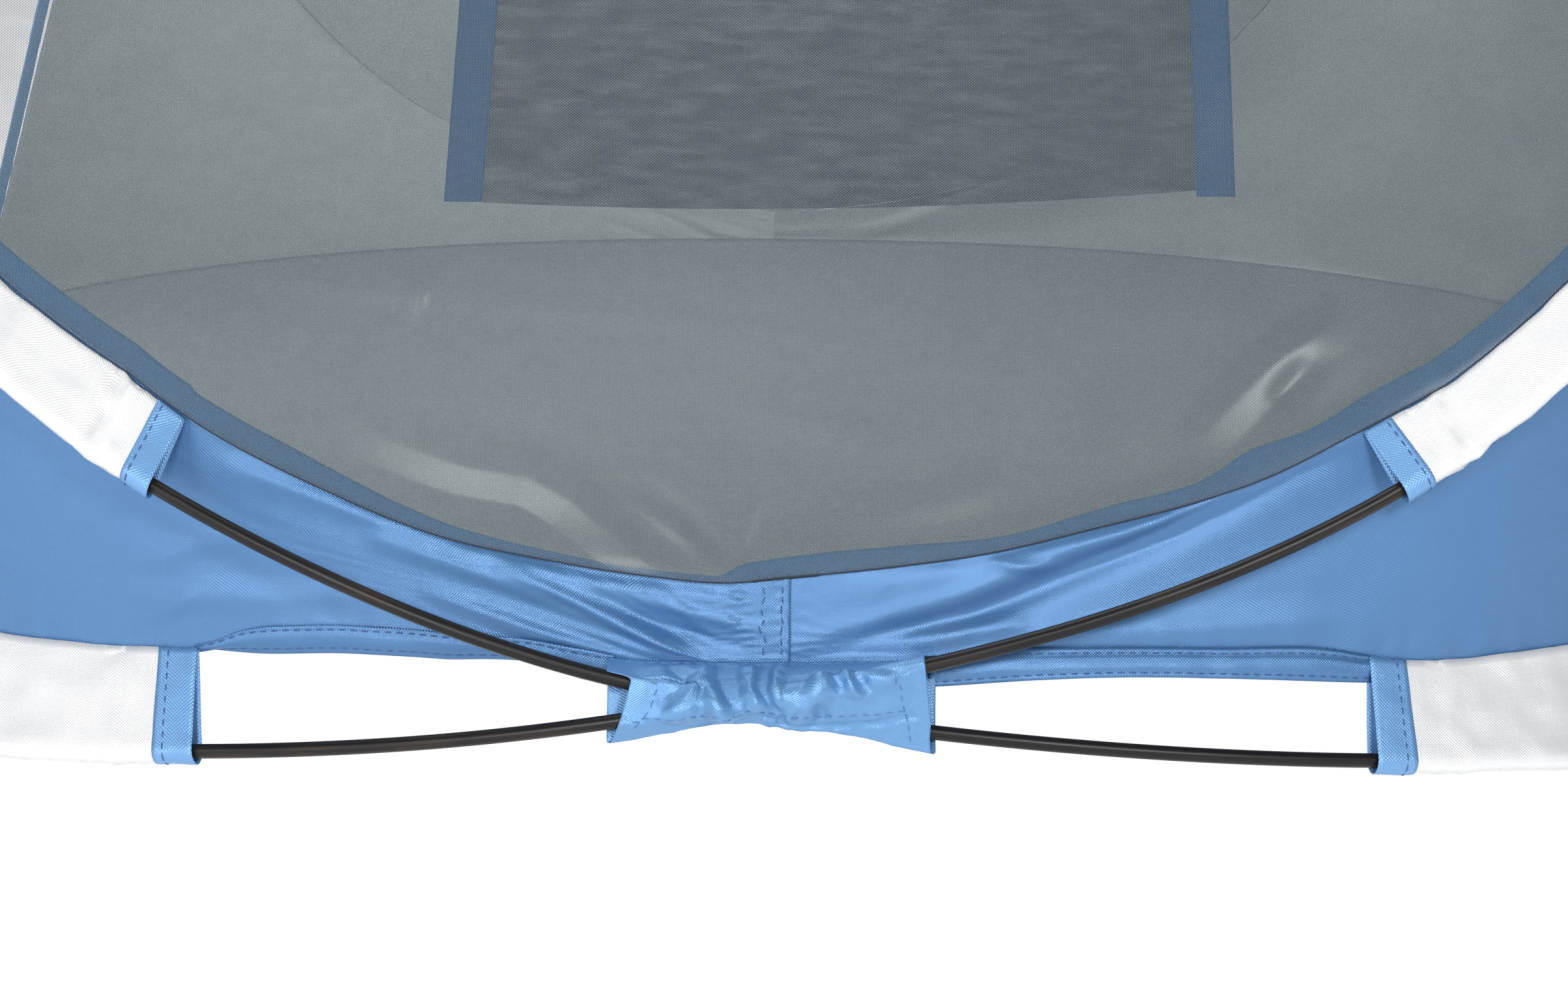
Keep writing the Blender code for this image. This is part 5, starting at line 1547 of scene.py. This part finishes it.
def peg_tabs():
    """The webbing tabs out of the floor's edge, each with a hole for its eyelet."""
    place = TAB_PLACE * FLOOR_LENGTH
    root, ahead = pick(FLOOR, [place, place + 0.005])
    way = unit(ahead - root)[:2]
    out = np.array([way[1], -way[0]])
    half = 0.5 * TAB_WIDTH
    offset = TAB_LENGTH - half - EYELET_PLACE
    for side, x in SIDES:
        for end, y in ENDS:
            sign = np.array([x, y])
            start, reach, across = root[:2] * sign, out * sign, way * sign
            grid = []
            for ring in np.linspace(0.0, 1.0, 9):
                row = []
                for a in np.arange(48) * 2 * math.pi / 48:
                    ca, sa = math.cos(a), math.sin(a)
                    hole = np.array([EYELET_PLACE + EYELET_HOLE * ca, EYELET_HOLE * sa])
                    if ca < 0:
                        rim = min(half / max(abs(sa), 1e-6), EYELET_PLACE / max(-ca, 1e-6))
                    else:
                        rim = offset * ca + math.sqrt(max(0.0, half**2 - (offset * sa) ** 2))
                    edge = np.array([EYELET_PLACE + rim * ca, rim * sa])
                    spot = hole + ring * (edge - hole)
                    flat = start + spot[0] * reach + spot[1] * across
                    row.append((*flat, TAB_THICKNESS))
                grid.append(row)
            cloth = Cloth(grid, ring=True, facing=UPWARD)
            flat = cloth.closed()[..., :2] - start
            uv = np.stack([flat @ across, flat @ reach], axis=-1)
            name = f"peg_tab_{side}_{end}"
            tab = mesh_piece(f"{name}_webbing", cloth, WEBBING, uv=uv, thickness=TAB_THICKNESS - 0.0001)
            dress(tab, (name,))
            frame["nodes"][f"peg_eyelet_{side}_{end}"].material_slots[0].material = EYELET


# Stage


def camera_and_light():
    """The photograph's view of the crossing, on a seamless white floor under soft lights."""
    ahead = Vector((0.0, math.cos(CAMERA_TILT), -math.sin(CAMERA_TILT)))
    up = Vector((0.0, math.sin(CAMERA_TILT), math.cos(CAMERA_TILT)))
    right = Vector((1.0, 0.0, 0.0))
    level = right * math.cos(CAMERA_ROLL) + up * math.sin(CAMERA_ROLL)
    upright = -right * math.sin(CAMERA_ROLL) + up * math.cos(CAMERA_ROLL)
    data = bpy.data.cameras.new("camera")
    data.lens = CAMERA_LENS
    data.sensor_width = CAMERA_SENSOR
    data.clip_start = 0.05
    camera = bpy.data.objects.new("camera", data)
    aside, above, back = CAMERA_PLACE
    place = Vector((0.0, -HALF_LENGTH, CROSSING_HEIGHT)) + aside * level + above * upright - back * ahead
    turned = Matrix((level, upright, -ahead)).transposed().to_4x4()
    camera.matrix_world = Matrix.Translation(place) @ turned
    bpy.context.scene.collection.objects.link(camera)
    bpy.context.scene.camera = camera

    white = Finish("studio_white", base_color=grey(0.16), roughness=0.9, emission_color=grey(1.0),
                   emission_strength=STUDIO_GLOW)
    s = STUDIO_REACH
    corners = [(-s, -s, 0.0), (s, -s, 0.0), (s, s, 0.0), (-s, s, 0.0)]
    ground = add_mesh("studio_floor", corners, [(0, 1, 2, 3)], white.material)
    ground.location = (0.0, 0.0, -0.0005)

    world = bpy.data.worlds.new("studio")
    world.use_nodes = True
    sky = world.node_tree.nodes["Background"].inputs
    sky["Color"].default_value = grey(1.0)
    sky["Strength"].default_value = SKY_LIGHT
    bpy.context.scene.world = world
    bpy.context.scene.view_settings.view_transform = "Standard"

    for name, spot, aim, size, power in LIGHTS:
        light = bpy.data.lights.new(name, "AREA")
        light.size = size
        light.energy = power
        lamp = bpy.data.objects.new(name, light)
        lamp.location = spot
        lamp.rotation_euler = (Vector(aim) - Vector(spot)).to_track_quat("-Z", "Y").to_euler()
        lamp.visible_camera = False
        bpy.context.scene.collection.objects.link(lamp)


camera_and_light()
hoops()
wall("back_wall", "back", (1, -1), UPPER_LENGTH, (-WALL_SAG, 0.0, 0.0))
wall("front_corner_right", "front", (1,), MOUTH)
wall("front_corner_left", "front", (-1,), MOUTH)
net_window()
seam_allowance()
far_panel()
roof()
floor()
sleeves()
flanges()
for wrap_end, wrap_y in ENDS:
    crossing_wrap(wrap_end, wrap_y)
mouth_bindings()
ground_flap()
pocket()
peg_tabs()
